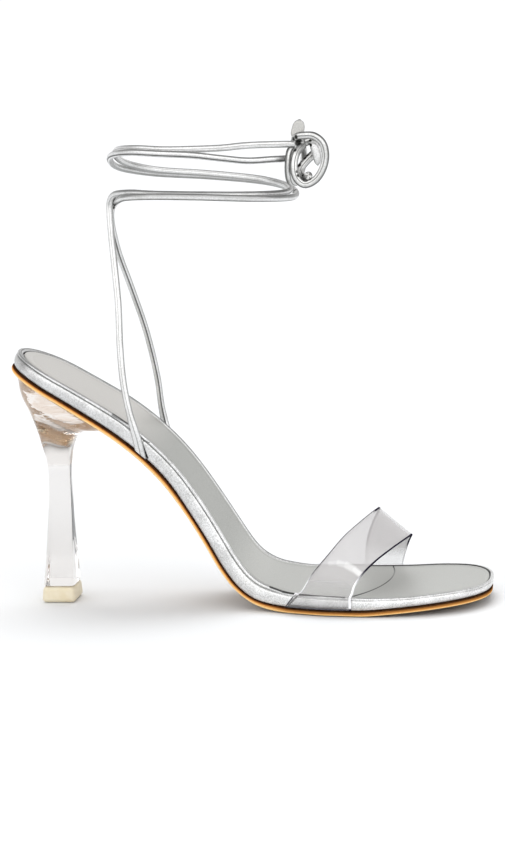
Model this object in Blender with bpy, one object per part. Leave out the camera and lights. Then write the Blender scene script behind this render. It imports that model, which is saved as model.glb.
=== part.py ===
"""Heeled sandal, right shoe: clear heel and toe strap, silver footbed, tied ankle cords.

Frame: +X to the toe, -Y to the outer side of the foot, +Z up, in metres.
Origin: centre of the heel tip's rest face, on the floor.
Tables and sizes below are in millimetres and degrees, and are scaled once, when a mesh is made.
"""

import math

import bmesh
import bpy
from mathutils import Vector

MM = 0.001
SHARP_ANGLE = 35.0

# Driving sizes of the sole
SOLE_LENGTH = 244.5
HEEL_END_X = -18.2
HEEL_ROUND = 23.0
TOE_ROUND = 50.0
TOE_POWER = 2.5
OUTSOLE_THICKNESS = 2.5
SEAT_GAP = 0.3
RECESS_DEPTH = 1.6
INSOLE_INSET = 2.6
INSOLE_TOP_DROP = 0.35

# Pitch of the underside: run from the heel end, pitch down towards the toe
PITCH = [
    (0, 28), (22, 31), (42, 32.5), (57, 38), (73, 45.5), (89, 54), (105, 58), (119, 60), (129, 54),
    (137, 41.5), (145, 27.5), (153, 12), (159, 5.5), (165, 0), (187, 0), (197, -4.5), (220, -4), (244.5, -2),
]
FLAT_RUN = 176.0

# Plan of the outsole: run, half width, shift to the inner side, slant of the cross line
PLAN = [
    (0, 24.4, 0.0, 0.0), (23, 24.4, 0.0, 0.0), (45, 24.8, 0.0, 0.0), (70, 23.4, 0.0, 0.0),
    (100, 22.0, 0.0, 0.012), (127, 22.6, 0.0, 0.035), (149, 27.0, 0.5, 0.055), (164, 32.3, 1.5, 0.06),
    (180, 37.2, 1.5, 0.03), (197, 38.3, 0.6, 0.0), (244.5, 38.3, 2.2, 0.0),
]

# Height of the footbed wall over the outsole: run, height
WALL = [(0, 5.9), (60, 6.9), (110, 6.5), (150, 7.0), (166, 5.6), (188, 4.8), (215, 3.4), (244.5, 3.4)]

# Rim of the footbed: run, share of its width at the heel, lift of the outer side and drop of the inner side
RIM = [(0, 1.0, 0.0), (130, 1.0, 0.0), (190, 0.6, 0.7), (225, 0.55, 0.5), (244.5, 0.5, 0.0)]

# Edge of the outsole: inset from the plan outline, height
OUTSOLE_EDGE = [(0.9, 0.0), (0.25, 0.35), (0.0, 0.9), (0.0, 1.7), (0.5, OUTSOLE_THICKNESS)]

# Section of the footbed wall: inset from the plan outline, share of the wall height
WALL_SECTION = [(0.5, 0.0), (-0.45, 0.3), (-0.6, 0.6), (-0.1, 0.79), (-0.5, 0.88), (0.3, 1.0), (1.5, 0.94)]
RECESS_INSET = 2.1

# Heel rings from the tip up: back x and z, front x and z, half width, squareness
HEEL_TIP_HEIGHT = 7.0
HEEL_RINGS = [
    (-6.7, 7.3, 6.7, 7.3, 9.0, 9.0),
    (-6.0, 14.0, 6.6, 14.0, 7.9, 8.0),
    (-5.4, 24.0, 6.3, 24.0, 6.1, 7.0),
    (-4.8, 34.0, 6.0, 34.0, 4.8, 6.0),
    (-4.0, 44.0, 5.8, 44.0, 4.1, 6.0),
    (-3.8, 53.0, 5.7, 53.0, 4.2, 5.0),
    (-4.3, 60.5, 5.9, 60.0, 5.0, 4.5),
    (-5.9, 67.5, 6.7, 66.0, 7.6, 3.8),
    (-7.7, 75.0, 9.0, 71.0, 12.0, 3.2),
    (-10.6, 83.0, 14.0, 73.6, 16.8, 2.6),
    (-14.0, 90.5, 19.6, 73.4, 20.6, 2.3),
]
SEAT_RUN = 27.6
SEAT_HALF_LENGTH = 24.4
SEAT_HALF_WIDTH = 22.9
SEAT_SQUARENESS = 2.2
HEEL_SIDES = 32

# Heel tip: half length, half width and squareness at the floor and at the top
TIP_FOOT = (7.35, 9.5, 10.0)
TIP_TOP = (6.75, 9.05, 9.0)

# Clear toe strap: thickness, mesh rows and columns, and the runs of its feet at the rear and front edges
STRAP_THICKNESS = 1.0
STRAP_ROWS = 28
STRAP_COLUMNS = 4
STRAP_OUTER_RUNS = (161.0, 188.0)
STRAP_INNER_RUNS = (186.5, 204.5)
# Strap foot: share of the wall height, distance out from the plan outline
STRAP_FOOT = [(0.06, 0.8), (0.3, 1.3), (0.6, 1.45), (1.0, 1.55)]
# Run by which the rear edge of the outer foot slants forward up the wall
STRAP_FOOT_SLANT = 5.0
# Cross lines over the foot: rear x, y, z and front x, y, z
STRAP_LINES = [
    (105.9, -32.3, 8.9, 128.4, -38.0, 9.6),
    (111.3, -33.0, 16.9, 129.8, -37.4, 13.6),
    (117.9, -29.5, 24.6, 133.0, -33.0, 17.6),
    (123.7, -22.5, 30.8, 137.5, -24.0, 20.9),
    (130.8, -10.0, 35.8, 143.5, -10.0, 23.6),
    (135.8, 4.0, 38.0, 148.5, 4.0, 25.1),
    (135.5, 16.0, 35.5, 149.8, 17.0, 24.0),
    (132.0, 27.0, 28.0, 147.8, 28.5, 18.8),
    (128.8, 35.4, 18.5, 145.8, 36.2, 12.8),
]

# Ankle cords: thickness, and the flat tab where each is lasted to the footbed
CORD = 2.8
TAB_WIDTH = 4.0
TAB_THICKNESS = 1.3
TAB_LENGTH = 22.0
OUTER_TAB_RUN = 67.4
INNER_TAB_RUN = 72.8
# Tab up the wall: run from the tab's foot, share of the wall height, distance out from the plan outline
TAB_FOOT = [(0.0, 0.0, 0.85), (-2.4, 0.3, 1.5), (-5.0, 0.62, 1.75), (-8.3, 1.0, 1.9)]
CORD_SIDES = 8
PATH_STEPS = 24
CORD_LONGEST_STEP = 8.0
CORD_SHARPEST_STEP = 24.0
SLANTED_RINGS = 4
END_LONGEST_STEP = 1.2

# Rise of each cord from its tab to the back of the ankle
OUTER_RISE = [
    (36.2, -25.4, 84.0), (33.8, -23.9, 96.3), (32.4, -21.3, 112.0), (31.6, -17.4, 128.0),
    (29.7, -12.6, 144.0), (28.0, -8.2, 157.0), (27.2, -5.6, 165.0), (27.2, -5.0, 169.8), (29.2, -7.2, 173.0),
]
INNER_RISE = [
    (41.4, 25.2, 80.4), (40.4, 23.9, 92.0), (37.0, 18.8, 113.0), (32.0, 12.6, 133.0), (28.2, 8.0, 147.0),
    (27.3, 4.5, 153.4), (26.7, 1.3, 159.8), (26.8, -0.8, 165.2), (27.5, -1.6, 168.0), (29.4, -2.5, 169.2),
    (31.0, -7.0, 169.7), (31.8, -10.2, 170.7), (33.3, -13.6, 171.5),
]

# Turns round the ankle: turn from the toe side, height, half split upwards, half split outwards
ANKLE_X = 66.0
ANKLE_HALF_LENGTH = 37.6
ANKLE_HALF_WIDTH = 26.0
ANKLE_TURNS = [
    (218, 173.4, 1.0, -1.5), (238, 173.6, 0.5, -1.55), (270, 173.2, 0.4, -1.6), (310, 172.1, 0.75, -1.5),
    (342, 171.8, 1.0, -1.4), (360, 172.4, 1.1, -1.3), (378, 174.0, 0.9, -1.4), (410, 176.6, 0.7, -1.5),
    (450, 179.2, 0.7, -1.4), (490, 181.6, 0.8, -1.4), (520, 184.9, 1.1, -1.3), (540, 188.0, 1.3, -1.1),
    (560, 190.8, 1.1, -1.3), (585, 191.9, 0.8, -1.4), (610, 191.3, 0.8, -1.4), (630, 190.9, 1.2, -1.2),
    (648, 190.2, 2.1, -0.9), (665, 189.9, 3.1, -0.4),
]
OUTER_END = [(98.0, -18.5, 193.1), (104.8, -15.2, 193.0)]
INNER_END = [(97.7, -17.0, 187.0), (104.0, -11.5, 187.0)]

# Bow: knot, two loops and three ends, each a route that starts and ends beside the knot
KNOT_CENTRE = (108.0, -13.0, 192.4)
KNOT_HALF_SIZE = (3.65, 3.25, 3.65)
KNOT_SIDES = 16
KNOT_ROWS = 10
LOOP_CORD = 3.1
FRONT_LOOP = [
    (107.6, -17.5, 189.5), (106.5, -19.0, 184.5), (107.4, -19.5, 179.3), (110.7, -19.5, 176.6),
    (115.1, -19.5, 178.3), (118.2, -19.5, 182.5), (119.6, -19.5, 188.0), (118.5, -19.5, 193.3),
    (115.0, -19.0, 196.2), (111.0, -18.0, 196.5), (108.2, -16.7, 195.9),
]
BACK_LOOP = [
    (104.7, -15.0, 189.6), (104.0, -15.5, 186.5), (103.7, -15.0, 181.6), (103.9, -12.5, 178.3),
    (104.7, -8.0, 176.9), (106.0, -3.5, 177.2), (107.2, -1.4, 180.0), (108.5, -2.0, 184.0),
    (109.4, -6.0, 189.3), (109.2, -8.6, 191.4),
]
END_UP = [(107.2, -10.9, 196.0), (107.3, -10.5, 198.2), (107.5, -10.2, 200.3), (107.9, -9.8, 202.6)]
END_UP_SIZES = [(4.6, 1.7), (5.4, 1.6), (4.8, 1.4), (2.2, 1.1)]
END_DOWN = [(112.4, -13.0, 194.0), (114.4, -14.0, 192.0), (115.6, -14.5, 188.3), (115.9, -14.5, 184.2)]
END_DOWN_SIZES = [(2.2, 1.5), (3.9, 1.2), (3.7, 1.0), (1.8, 0.8)]
END_FRONT = [
    (111.3, -10.3, 194.0), (115.2, -9.0, 193.0), (115.6, -9.5, 190.3), (113.1, -10.5, 188.0), (110.1, -12.0, 185.0),
    (108.3, -13.5, 182.3), (109.3, -15.5, 179.9), (111.9, -18.0, 179.9), (112.4, -20.2, 180.5),
]
END_FRONT_SIZES = [(CORD, CORD)] * 2

# Finishes: colour, roughness, metallic, alpha
FINISHES = {
    "silver_leather": ((0.72, 0.72, 0.72), 0.32, 0.85, 1.0),
    "sock_lining": ((0.56, 0.56, 0.54), 0.42, 0.55, 1.0),
    "sole_edge": ((0.62, 0.34, 0.11), 0.4, 0.0, 1.0),
    "clear_acrylic": ((0.97, 0.96, 0.95), 0.04, 0.0, 0.3),
    "ivory_tip": ((0.86, 0.79, 0.62), 0.45, 0.0, 1.0),
    "clear_film": ((0.9, 0.89, 0.91), 0.06, 0.0, 0.3),
}


class Track:
    """A smooth curve through table rows that never overshoots a row."""

    def __init__(self, rows, column=1):
        self.keys = [float(row[0]) for row in rows]
        self.values = [float(row[column]) for row in rows]
        steps = [b - a for a, b in zip(self.keys, self.keys[1:])]
        rises = [(b - a) / step for a, b, step in zip(self.values, self.values[1:], steps)]
        self.slopes = [0.0] * len(rows)
        for i in range(1, len(rows) - 1):
            before, after = rises[i - 1], rises[i]
            if before * after > 0:
                self.slopes[i] = 2 * before * after / (before + after)

    def __call__(self, key):
        key = min(max(key, self.keys[0]), self.keys[-1])
        i = 0
        while i < len(self.keys) - 2 and key > self.keys[i + 1]:
            i += 1
        step = self.keys[i + 1] - self.keys[i]
        t = (key - self.keys[i]) / step
        a, b = self.values[i], self.values[i + 1]
        start, end = self.slopes[i] * step, self.slopes[i + 1] * step
        return (a * (2 * t**3 - 3 * t**2 + 1) + start * (t**3 - 2 * t**2 + t)
                + b * (3 * t**2 - 2 * t**3) + end * (t**3 - t**2))


class Sole:
    """The bent sole: places a point given by its run, its side offset and its height."""

    STEP = 0.5

    def __init__(self):
        self.pitch = Track(PITCH)
        self.half = Track(PLAN, 1)
        self.shift = Track(PLAN, 2)
        self.slant = Track(PLAN, 3)
        self.wall = Track(WALL)
        self.rim = Track(RIM, 1)
        self.lean = Track(RIM, 2)
        self.line = self.underside()

    def underside(self):
        """Points of the underside's middle line, flat on the floor at FLAT_RUN."""
        count = round(SOLE_LENGTH / self.STEP)
        flat = round(FLAT_RUN / self.STEP)
        line = [None] * (count + 1)
        line[flat] = (0.0, 0.0)
        for i in range(flat, count):
            angle = math.radians(self.pitch((i + 0.5) * self.STEP))
            x, z = line[i]
            line[i + 1] = (x + self.STEP * math.cos(angle), z - self.STEP * math.sin(angle))
        for i in range(flat, 0, -1):
            angle = math.radians(self.pitch((i - 0.5) * self.STEP))
            x, z = line[i]
            line[i - 1] = (x - self.STEP * math.cos(angle), z + self.STEP * math.sin(angle))
        offset = HEEL_END_X - line[0][0]
        return [(x + offset, z) for x, z in line]

    def normal(self, run):
        """Upward normal of the underside at a run."""
        angle = math.radians(self.pitch(run))
        return Vector((math.sin(angle), 0.0, math.cos(angle)))

    def place(self, run, side, height):
        """Point at a run along the sole, a side offset and a height over the underside."""
        at = min(max(run, 0.0), SOLE_LENGTH) / self.STEP
        i = min(int(at), len(self.line) - 2)
        t = at - i
        x = self.line[i][0] * (1 - t) + self.line[i + 1][0] * t
        z = self.line[i][1] * (1 - t) + self.line[i + 1][1] * t
        beyond = run - min(max(run, 0.0), SOLE_LENGTH)
        angle = math.radians(self.pitch(run))
        x += self.slant(run) * side + beyond * math.cos(angle)
        z -= beyond * math.sin(angle)
        return Vector((x, side, z)) + self.normal(run) * height

    def half_width(self, run):
        """Half width of the plan, rounded off at the heel and the toe."""
        rounding = 1.0
        if run < HEEL_ROUND:
            rounding = math.sqrt(max(0.0, 1 - (1 - run / HEEL_ROUND) ** 2))
        toe_start = SOLE_LENGTH - TOE_ROUND
        if run > toe_start:
            turned = min(1.0, (run - toe_start) / TOE_ROUND)
            rounding = (1 - turned**TOE_POWER) ** (1 / TOE_POWER)
        return self.half(run) * rounding

    def edge(self, run, outer):
        """Side offset of the plan outline at a run, on the outer or the inner side."""
        half = self.half_width(run)
        return self.shift(run) - half if outer else self.shift(run) + half

    def wall_top(self, run, across):
        """Height of the wall at a place across the sole, from -1 at the outer edge to 1 at the inner edge."""
        return self.wall(run) - self.lean(run) * across

    def stations(self, heel_steps=7, waist_steps=22, toe_steps=9):
        """Runs of the cross lines, close together where the plan turns."""
        toe_start = SOLE_LENGTH - TOE_ROUND
        quarter = math.pi / 2
        heel = [HEEL_ROUND * (1 - math.cos(quarter * i / heel_steps)) for i in range(heel_steps)]
        waist = [HEEL_ROUND + (toe_start - HEEL_ROUND) * i / waist_steps for i in range(waist_steps)]
        toe = [toe_start + TOE_ROUND * math.sin(quarter * i / toe_steps) for i in range(toe_steps + 1)]
        return heel + waist + toe

    def ring(self, inset, height):
        """Loop round the plan at an inset: out along the outer side, back along the inner side.

        Inside the outline the inset narrows with the rim. The height is a function of the run and of the
        place across, from -1 at the outer edge to 1 at the inner edge.
        """
        runs = self.stations()
        plan = [(run, self.edge(run, True)) for run in runs]
        plan += [(run, self.edge(run, False)) for run in reversed(runs[1:-1])]
        points = []
        for i, (run, side) in enumerate(plan):
            before, after = plan[i - 1], plan[(i + 1) % len(plan)]
            along = Vector((after[0] - before[0], after[1] - before[1])).normalized()
            step_in = inset * self.rim(run) if inset > 0 else inset
            at = run - along.y * step_in
            across = (side - self.shift(run)) / self.half(run)
            points.append(self.place(at, side + along.x * step_in, height(at, across)))
        return points


def finish(name):
    """Principled material of a named finish."""
    colour, roughness, metallic, alpha = FINISHES[name]
    material = bpy.data.materials.new(name)
    material.use_nodes = True
    shader = material.node_tree.nodes["Principled BSDF"]
    shader.inputs["Base Color"].default_value = (*colour, 1.0)
    shader.inputs["Roughness"].default_value = roughness
    shader.inputs["Metallic"].default_value = metallic
    shader.inputs["Alpha"].default_value = alpha
    return material


def make_object(name, bm, material):
    """Named object from a bmesh in millimetres, with its faces pointing out."""
    bmesh.ops.scale(bm, vec=(MM, MM, MM), verts=bm.verts)
    bmesh.ops.recalc_face_normals(bm, faces=bm.faces)
    mesh = bpy.data.meshes.new(name)
    bm.to_mesh(mesh)
    bm.free()
    mesh.materials.append(material)
    mesh.shade_smooth()
    mesh.set_sharp_from_angle(angle=math.radians(SHARP_ANGLE))
    bpy.context.scene.collection.objects.link(bpy.data.objects.new(name, mesh))


def skin_rings(bm, rings):
    """Quads between rings of equal length; returns the rings as vertices."""
    loops = [[bm.verts.new(point) for point in ring] for ring in rings]
    for lower, upper in zip(loops, loops[1:]):
        for i in range(len(lower)):
            j = (i + 1) % len(lower)
            bm.faces.new((lower[i], lower[j], upper[j], upper[i]))
    return loops


def fill_plan(bm, loop):
    """Close a plan loop with cross strips, so that the cap follows the bend of the sole."""
    last = len(loop) // 2
    bm.faces.new((loop[0], loop[1], loop[-1]))
    for i in range(1, last - 1):
        bm.faces.new((loop[i], loop[i + 1], loop[-i - 1], loop[-i]))
    bm.faces.new((loop[last - 1], loop[last], loop[last + 1]))


def plan_solid(name, rings, material):
    """Solid between the first and the last of a stack of plan rings."""
    bm = bmesh.new()
    loops = skin_rings(bm, rings)
    fill_plan(bm, loops[0])
    fill_plan(bm, loops[-1])
    make_object(name, bm, material)


def ring_solid(name, rings, material):
    """Solid between the first and the last of a stack of flat rings."""
    bm = bmesh.new()
    loops = skin_rings(bm, rings)
    bm.faces.new(loops[0])
    bm.faces.new(loops[-1])
    make_object(name, bm, material)


def squared_circle(squareness, sides):
    """Unit loop between a circle (2) and a square (large), as pairs along and across."""
    power = 2.0 / squareness
    loop = []
    for i in range(sides):
        angle = 2 * math.pi * (i + 0.5) / sides
        c, s = math.cos(angle), math.sin(angle)
        loop.append((math.copysign(abs(c) ** power, c), math.copysign(abs(s) ** power, s)))
    return loop


def make_sole(sole):
    """Outsole, footbed wall with its rim and recess, and the sock lining in the recess."""
    base = OUTSOLE_THICKNESS + SEAT_GAP

    def wall_height(share, drop=0.0):
        return lambda run, across: base + sole.wall_top(run, across) * share - drop

    outsole = [sole.ring(inset, lambda run, across, h=height: h) for inset, height in OUTSOLE_EDGE]
    plan_solid("outsole", outsole, finish("sole_edge"))

    wall = [sole.ring(inset, wall_height(share)) for inset, share in WALL_SECTION]
    wall.append(sole.ring(RECESS_INSET, wall_height(1.0, RECESS_DEPTH)))
    plan_solid("midsole", wall, finish("silver_leather"))

    lining = [
        sole.ring(INSOLE_INSET, wall_height(1.0, RECESS_DEPTH - SEAT_GAP)),
        sole.ring(INSOLE_INSET, wall_height(1.0, 2 * INSOLE_TOP_DROP)),
        sole.ring(INSOLE_INSET + INSOLE_TOP_DROP, wall_height(1.0, INSOLE_TOP_DROP)),
    ]
    plan_solid("insole", lining, finish("sock_lining"))


def make_heel(sole):
    """Clear heel from its tip to the seat, and the ivory tip under it."""
    rings = []
    for back_x, back_z, front_x, front_z, half_width, squareness in HEEL_RINGS:
        middle = Vector(((back_x + front_x) / 2, 0.0, (back_z + front_z) / 2))
        along = Vector(((front_x - back_x) / 2, 0.0, (front_z - back_z) / 2))
        across = Vector((0.0, half_width, 0.0))
        rings.append([middle + along * u + across * v for u, v in squared_circle(squareness, HEEL_SIDES)])
    seat = [
        sole.place(SEAT_RUN + SEAT_HALF_LENGTH * u, SEAT_HALF_WIDTH * v, -SEAT_GAP)
        for u, v in squared_circle(SEAT_SQUARENESS, HEEL_SIDES)
    ]
    bm = bmesh.new()
    loops = skin_rings(bm, rings + [seat])
    bm.faces.new(loops[0])
    half = HEEL_SIDES // 2
    for i in range(half - 1):
        bm.faces.new((loops[-1][i], loops[-1][i + 1], loops[-1][-i - 2], loops[-1][-i - 1]))
    make_object("heel", bm, finish("clear_acrylic"))

    tip = []
    for z, (half_length, half_width, squareness) in ((0.0, TIP_FOOT), (HEEL_TIP_HEIGHT, TIP_TOP)):
        loop = squared_circle(squareness, HEEL_SIDES)
        tip.append([Vector((half_length * u, half_width * v, z)) for u, v in loop])
    ring_solid("heel_tip", tip, finish("ivory_tip"))


def smooth_path(points, steps=PATH_STEPS):
    """Dense smooth path through a route's points."""
    points = [Vector(point) for point in points]
    padded = [2 * points[0] - points[1]] + points + [2 * points[-1] - points[-2]]
    dense = []
    for p0, p1, p2, p3 in zip(padded, padded[1:], padded[2:], padded[3:]):
        d0 = max((p1 - p0).length, 1e-6) ** 0.5
        d1 = max((p2 - p1).length, 1e-6) ** 0.5
        d2 = max((p3 - p2).length, 1e-6) ** 0.5
        m1 = (p2 - p1) + d1 * ((p1 - p0) / d0 - (p2 - p0) / (d0 + d1))
        m2 = (p2 - p1) + d1 * ((p3 - p2) / d2 - (p3 - p1) / (d1 + d2))
        for i in range(steps):
            t = i / steps
            dense.append(p1 * (2 * t**3 - 3 * t**2 + 1) + m1 * (t**3 - 2 * t**2 + t)
                         + p2 * (3 * t**2 - 2 * t**3) + m2 * (t**3 - t**2))
    dense.append(points[-1])
    return dense


def thin_path(dense, longest=CORD_LONGEST_STEP, sharpest=CORD_SHARPEST_STEP):
    """Points of a dense path no further apart, and no sharper turned, than the limits."""
    kept = [dense[0]]
    run, turn = 0.0, 0.0
    for i in range(1, len(dense) - 1):
        run += (dense[i] - dense[i - 1]).length
        turn += math.degrees((dense[i] - dense[i - 1]).angle(dense[i + 1] - dense[i], 0.0))
        if run >= longest or turn >= sharpest:
            kept.append(dense[i])
            run, turn = 0.0, 0.0
    kept.append(dense[-1])
    return kept


def sweep(name, points, width, thickness, flat_side, material, start_normal=None):
    """Cord along points, with its width and thickness as tracks over the run.

    The thickness starts along flat_side, and the frame then turns as little as it can.
    With a start normal the first rings slant, so that the end lies flat on that plane.
    """
    rings = []
    run = 0.0
    side = Vector(flat_side)
    for i, point in enumerate(points):
        before, after = points[max(i - 1, 0)], points[min(i + 1, len(points) - 1)]
        along = (after - before).normalized()
        side = (side - along * side.dot(along)).normalized()
        across = along.cross(side)
        run += (point - before).length
        half_wide, half_thick = width(run) / 2, thickness(run) / 2
        plane = along
        if start_normal is not None and i < SLANTED_RINGS:
            plane = along.lerp(start_normal, 1 - i / SLANTED_RINGS).normalized()
        ring = []
        for k in range(CORD_SIDES):
            angle = 2 * math.pi * (k + 0.5) / CORD_SIDES
            offset = across * (half_wide * math.cos(angle)) + side * (half_thick * math.sin(angle))
            ring.append(point + offset - along * (offset.dot(plane) / along.dot(plane)))
        rings.append(ring)
    ring_solid(name, rings, material)


def ankle_route(sign):
    """Route round the ankle of the upper cord of the pair (sign 1) or the lower one (-1)."""
    route = []
    for turn, height, split_up, split_out in ANKLE_TURNS:
        angle = math.radians(turn)
        out = sign * split_out
        route.append((
            ANKLE_X + (ANKLE_HALF_LENGTH + out) * math.cos(angle),
            (ANKLE_HALF_WIDTH + out) * math.sin(angle),
            height + sign * split_up,
        ))
    return route


def make_ties(sole, material):
    """The two ankle cords, each with its flat tab on the footbed wall."""
    base = OUTSOLE_THICKNESS + SEAT_GAP
    width = Track([(0, TAB_WIDTH), (TAB_LENGTH, CORD)])
    thickness = Track([(0, TAB_THICKNESS), (TAB_LENGTH, CORD)])
    for name, outer, tab_run, rise, sign, end in (
        ("tie_outer", True, OUTER_TAB_RUN, OUTER_RISE, 1, OUTER_END),
        ("tie_inner", False, INNER_TAB_RUN, INNER_RISE, -1, INNER_END),
    ):
        outward = -1.0 if outer else 1.0
        tab = []
        for offset, share, out in TAB_FOOT:
            run = tab_run + offset
            tab.append(sole.place(run, sole.edge(run, outer) + outward * out, base + sole.wall(run) * share))
        path = thin_path(smooth_path(tab + rise + ankle_route(sign) + end))
        sweep(name, path, width, thickness, (0.0, outward, 0.0), material, sole.normal(tab_run))


def make_bow(material):
    """Knot, loops and ends of the bow at the front of the ankle."""
    bm = bmesh.new()
    bmesh.ops.create_uvsphere(bm, u_segments=KNOT_SIDES, v_segments=KNOT_ROWS, radius=1.0)
    bmesh.ops.scale(bm, vec=KNOT_HALF_SIZE, verts=bm.verts)
    bmesh.ops.translate(bm, vec=KNOT_CENTRE, verts=bm.verts)
    make_object("bow_knot", bm, material)

    even = Track([(0, LOOP_CORD), (1, LOOP_CORD)])
    for name, points in (("bow_loop_front", FRONT_LOOP), ("bow_loop_back", BACK_LOOP)):
        sweep(name, thin_path(smooth_path(points)), even, even, (0.0, -1.0, 0.0), material)

    for name, points, sections in (
        ("tie_end_up", END_UP, END_UP_SIZES),
        ("tie_end_down", END_DOWN, END_DOWN_SIZES),
        ("tie_end_front", END_FRONT, END_FRONT_SIZES),
    ):
        path = thin_path(smooth_path(points), END_LONGEST_STEP)
        total = sum((b - a).length for a, b in zip(path, path[1:]))
        runs = [total * i / (len(sections) - 1) for i in range(len(sections))]
        width = Track([(run, section[0]) for run, section in zip(runs, sections)])
        thickness = Track([(run, section[1]) for run, section in zip(runs, sections)])
        sweep(name, path, width, thickness, (0.0, -1.0, 0.0), material)


def strap_foot(sole, run, outer, slant):
    """Points of one strap foot from the outsole, at a run there, up the wall to its rim, slanting forward."""
    outward = -1.0 if outer else 1.0
    points = []
    for share, out in STRAP_FOOT:
        at = run + slant * share
        height = OUTSOLE_THICKNESS + SEAT_GAP + sole.wall_top(at, outward) * share
        points.append(sole.place(at, sole.edge(at, outer) + outward * out, height))
    return points


def strap_column(sole, share):
    """Path across the foot at a share of the strap's width, from its rear to its front edge."""
    outer_run = STRAP_OUTER_RUNS[0] + (STRAP_OUTER_RUNS[1] - STRAP_OUTER_RUNS[0]) * share
    inner_run = STRAP_INNER_RUNS[0] + (STRAP_INNER_RUNS[1] - STRAP_INNER_RUNS[0]) * share
    arch = [Vector(line[:3]).lerp(Vector(line[3:]), share) for line in STRAP_LINES]
    outer = strap_foot(sole, outer_run, True, STRAP_FOOT_SLANT * (1 - share))
    return smooth_path(outer + arch + strap_foot(sole, inner_run, False, 0.0)[::-1])


def make_strap(sole):
    """Clear strap: a thin sheet through its cross lines, thickened along its own normal."""
    columns = [strap_column(sole, j / STRAP_COLUMNS) for j in range(STRAP_COLUMNS + 1)]
    picks = [round((len(columns[0]) - 1) * i / STRAP_ROWS) for i in range(STRAP_ROWS + 1)]
    sheet = [[column[k] for column in columns] for k in picks]

    bm = bmesh.new()
    faces = ([], [])
    for i, row in enumerate(sheet):
        before, after = sheet[max(i - 1, 0)], sheet[min(i + 1, STRAP_ROWS)]
        for layer, sign in ((0, 1.0), (1, -1.0)):
            verts = []
            for j, point in enumerate(row):
                left, right = row[max(j - 1, 0)], row[min(j + 1, STRAP_COLUMNS)]
                normal = (right - left).cross(after[j] - before[j]).normalized()
                verts.append(bm.verts.new(point + normal * (sign * STRAP_THICKNESS / 2)))
            faces[layer].append(verts)
    for rows in faces:
        for a, b in zip(rows, rows[1:]):
            for j in range(STRAP_COLUMNS):
                bm.faces.new((a[j], a[j + 1], b[j + 1], b[j]))
    top, under = faces
    for i in range(STRAP_ROWS):
        for j in (0, STRAP_COLUMNS):
            bm.faces.new((top[i][j], top[i + 1][j], under[i + 1][j], under[i][j]))
    for i in (0, STRAP_ROWS):
        for j in range(STRAP_COLUMNS):
            bm.faces.new((top[i][j], top[i][j + 1], under[i][j + 1], under[i][j]))
    make_object("vamp_strap", bm, finish("clear_film"))


def main():
    for item in list(bpy.data.objects):
        bpy.data.objects.remove(item, do_unlink=True)
    sole = Sole()
    make_sole(sole)
    make_heel(sole)
    make_strap(sole)
    silver = finish("silver_leather")
    make_ties(sole, silver)
    make_bow(silver)


if __name__ == "__main__":
    main()
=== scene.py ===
"""Looks of a heeled sandal, right shoe: clear heel and toe band, silver footbed, tied ankle cords.

Frame: +X to the toe, -Y to the outer side of the foot, +Z up, in metres.
Sizes in the classes are in millimetres and degrees, and are scaled once, when a mesh is made.
"""

from __future__ import annotations

import logging
import math
from dataclasses import dataclass
from enum import Enum
from functools import partial
from typing import Any, Callable, Iterable, Iterator, Sequence, TypeVar

import bpy
from mathutils import Matrix, Vector

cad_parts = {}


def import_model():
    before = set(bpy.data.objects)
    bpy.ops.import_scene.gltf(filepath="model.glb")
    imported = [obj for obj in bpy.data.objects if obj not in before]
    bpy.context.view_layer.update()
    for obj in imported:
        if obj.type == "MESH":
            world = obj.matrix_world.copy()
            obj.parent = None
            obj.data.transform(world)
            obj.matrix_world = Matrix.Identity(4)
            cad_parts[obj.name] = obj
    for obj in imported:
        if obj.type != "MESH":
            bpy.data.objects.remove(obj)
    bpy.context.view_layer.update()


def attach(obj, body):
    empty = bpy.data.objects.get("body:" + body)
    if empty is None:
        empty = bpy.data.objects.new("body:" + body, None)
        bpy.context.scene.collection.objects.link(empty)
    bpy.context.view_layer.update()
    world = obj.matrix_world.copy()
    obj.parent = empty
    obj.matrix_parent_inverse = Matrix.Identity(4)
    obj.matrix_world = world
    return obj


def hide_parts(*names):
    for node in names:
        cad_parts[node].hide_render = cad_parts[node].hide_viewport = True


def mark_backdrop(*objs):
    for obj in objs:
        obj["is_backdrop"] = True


LOG = logging.getLogger("sandal")
MM = 0.001
WELD = 2e-6
# Least lengths that a path is divided by, in millimetres
LEAST_CHORD = 1e-6
LEAST_STEP = 1e-9

Row = tuple[float, ...]
Ring = list[Vector]
Colour = tuple[float, float, float]
Point = TypeVar("Point", float, Vector)


# Curves and rings


def metres(values: Iterable[float]) -> list[float]:
    """Millimetres as metres."""
    return [value * MM for value in values]


def hermite(share: float, start: Point, start_slope: Point, end: Point, end_slope: Point) -> Point:
    """Value on a cubic between two ends.

    Args:
        share: Share of the way from the start to the end.
        start: Value at the start.
        start_slope: Slope at the start, over the whole way.
        end: Value at the end.
        end_slope: Slope at the end.

    Returns:
        The value at the share.
    """
    square, cube = share**2, share**3
    return (
        start * (2 * cube - 3 * square + 1)
        + start_slope * (cube - 2 * square + share)
        + end * (3 * square - 2 * cube)
        + end_slope * (cube - square)
    )


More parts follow.
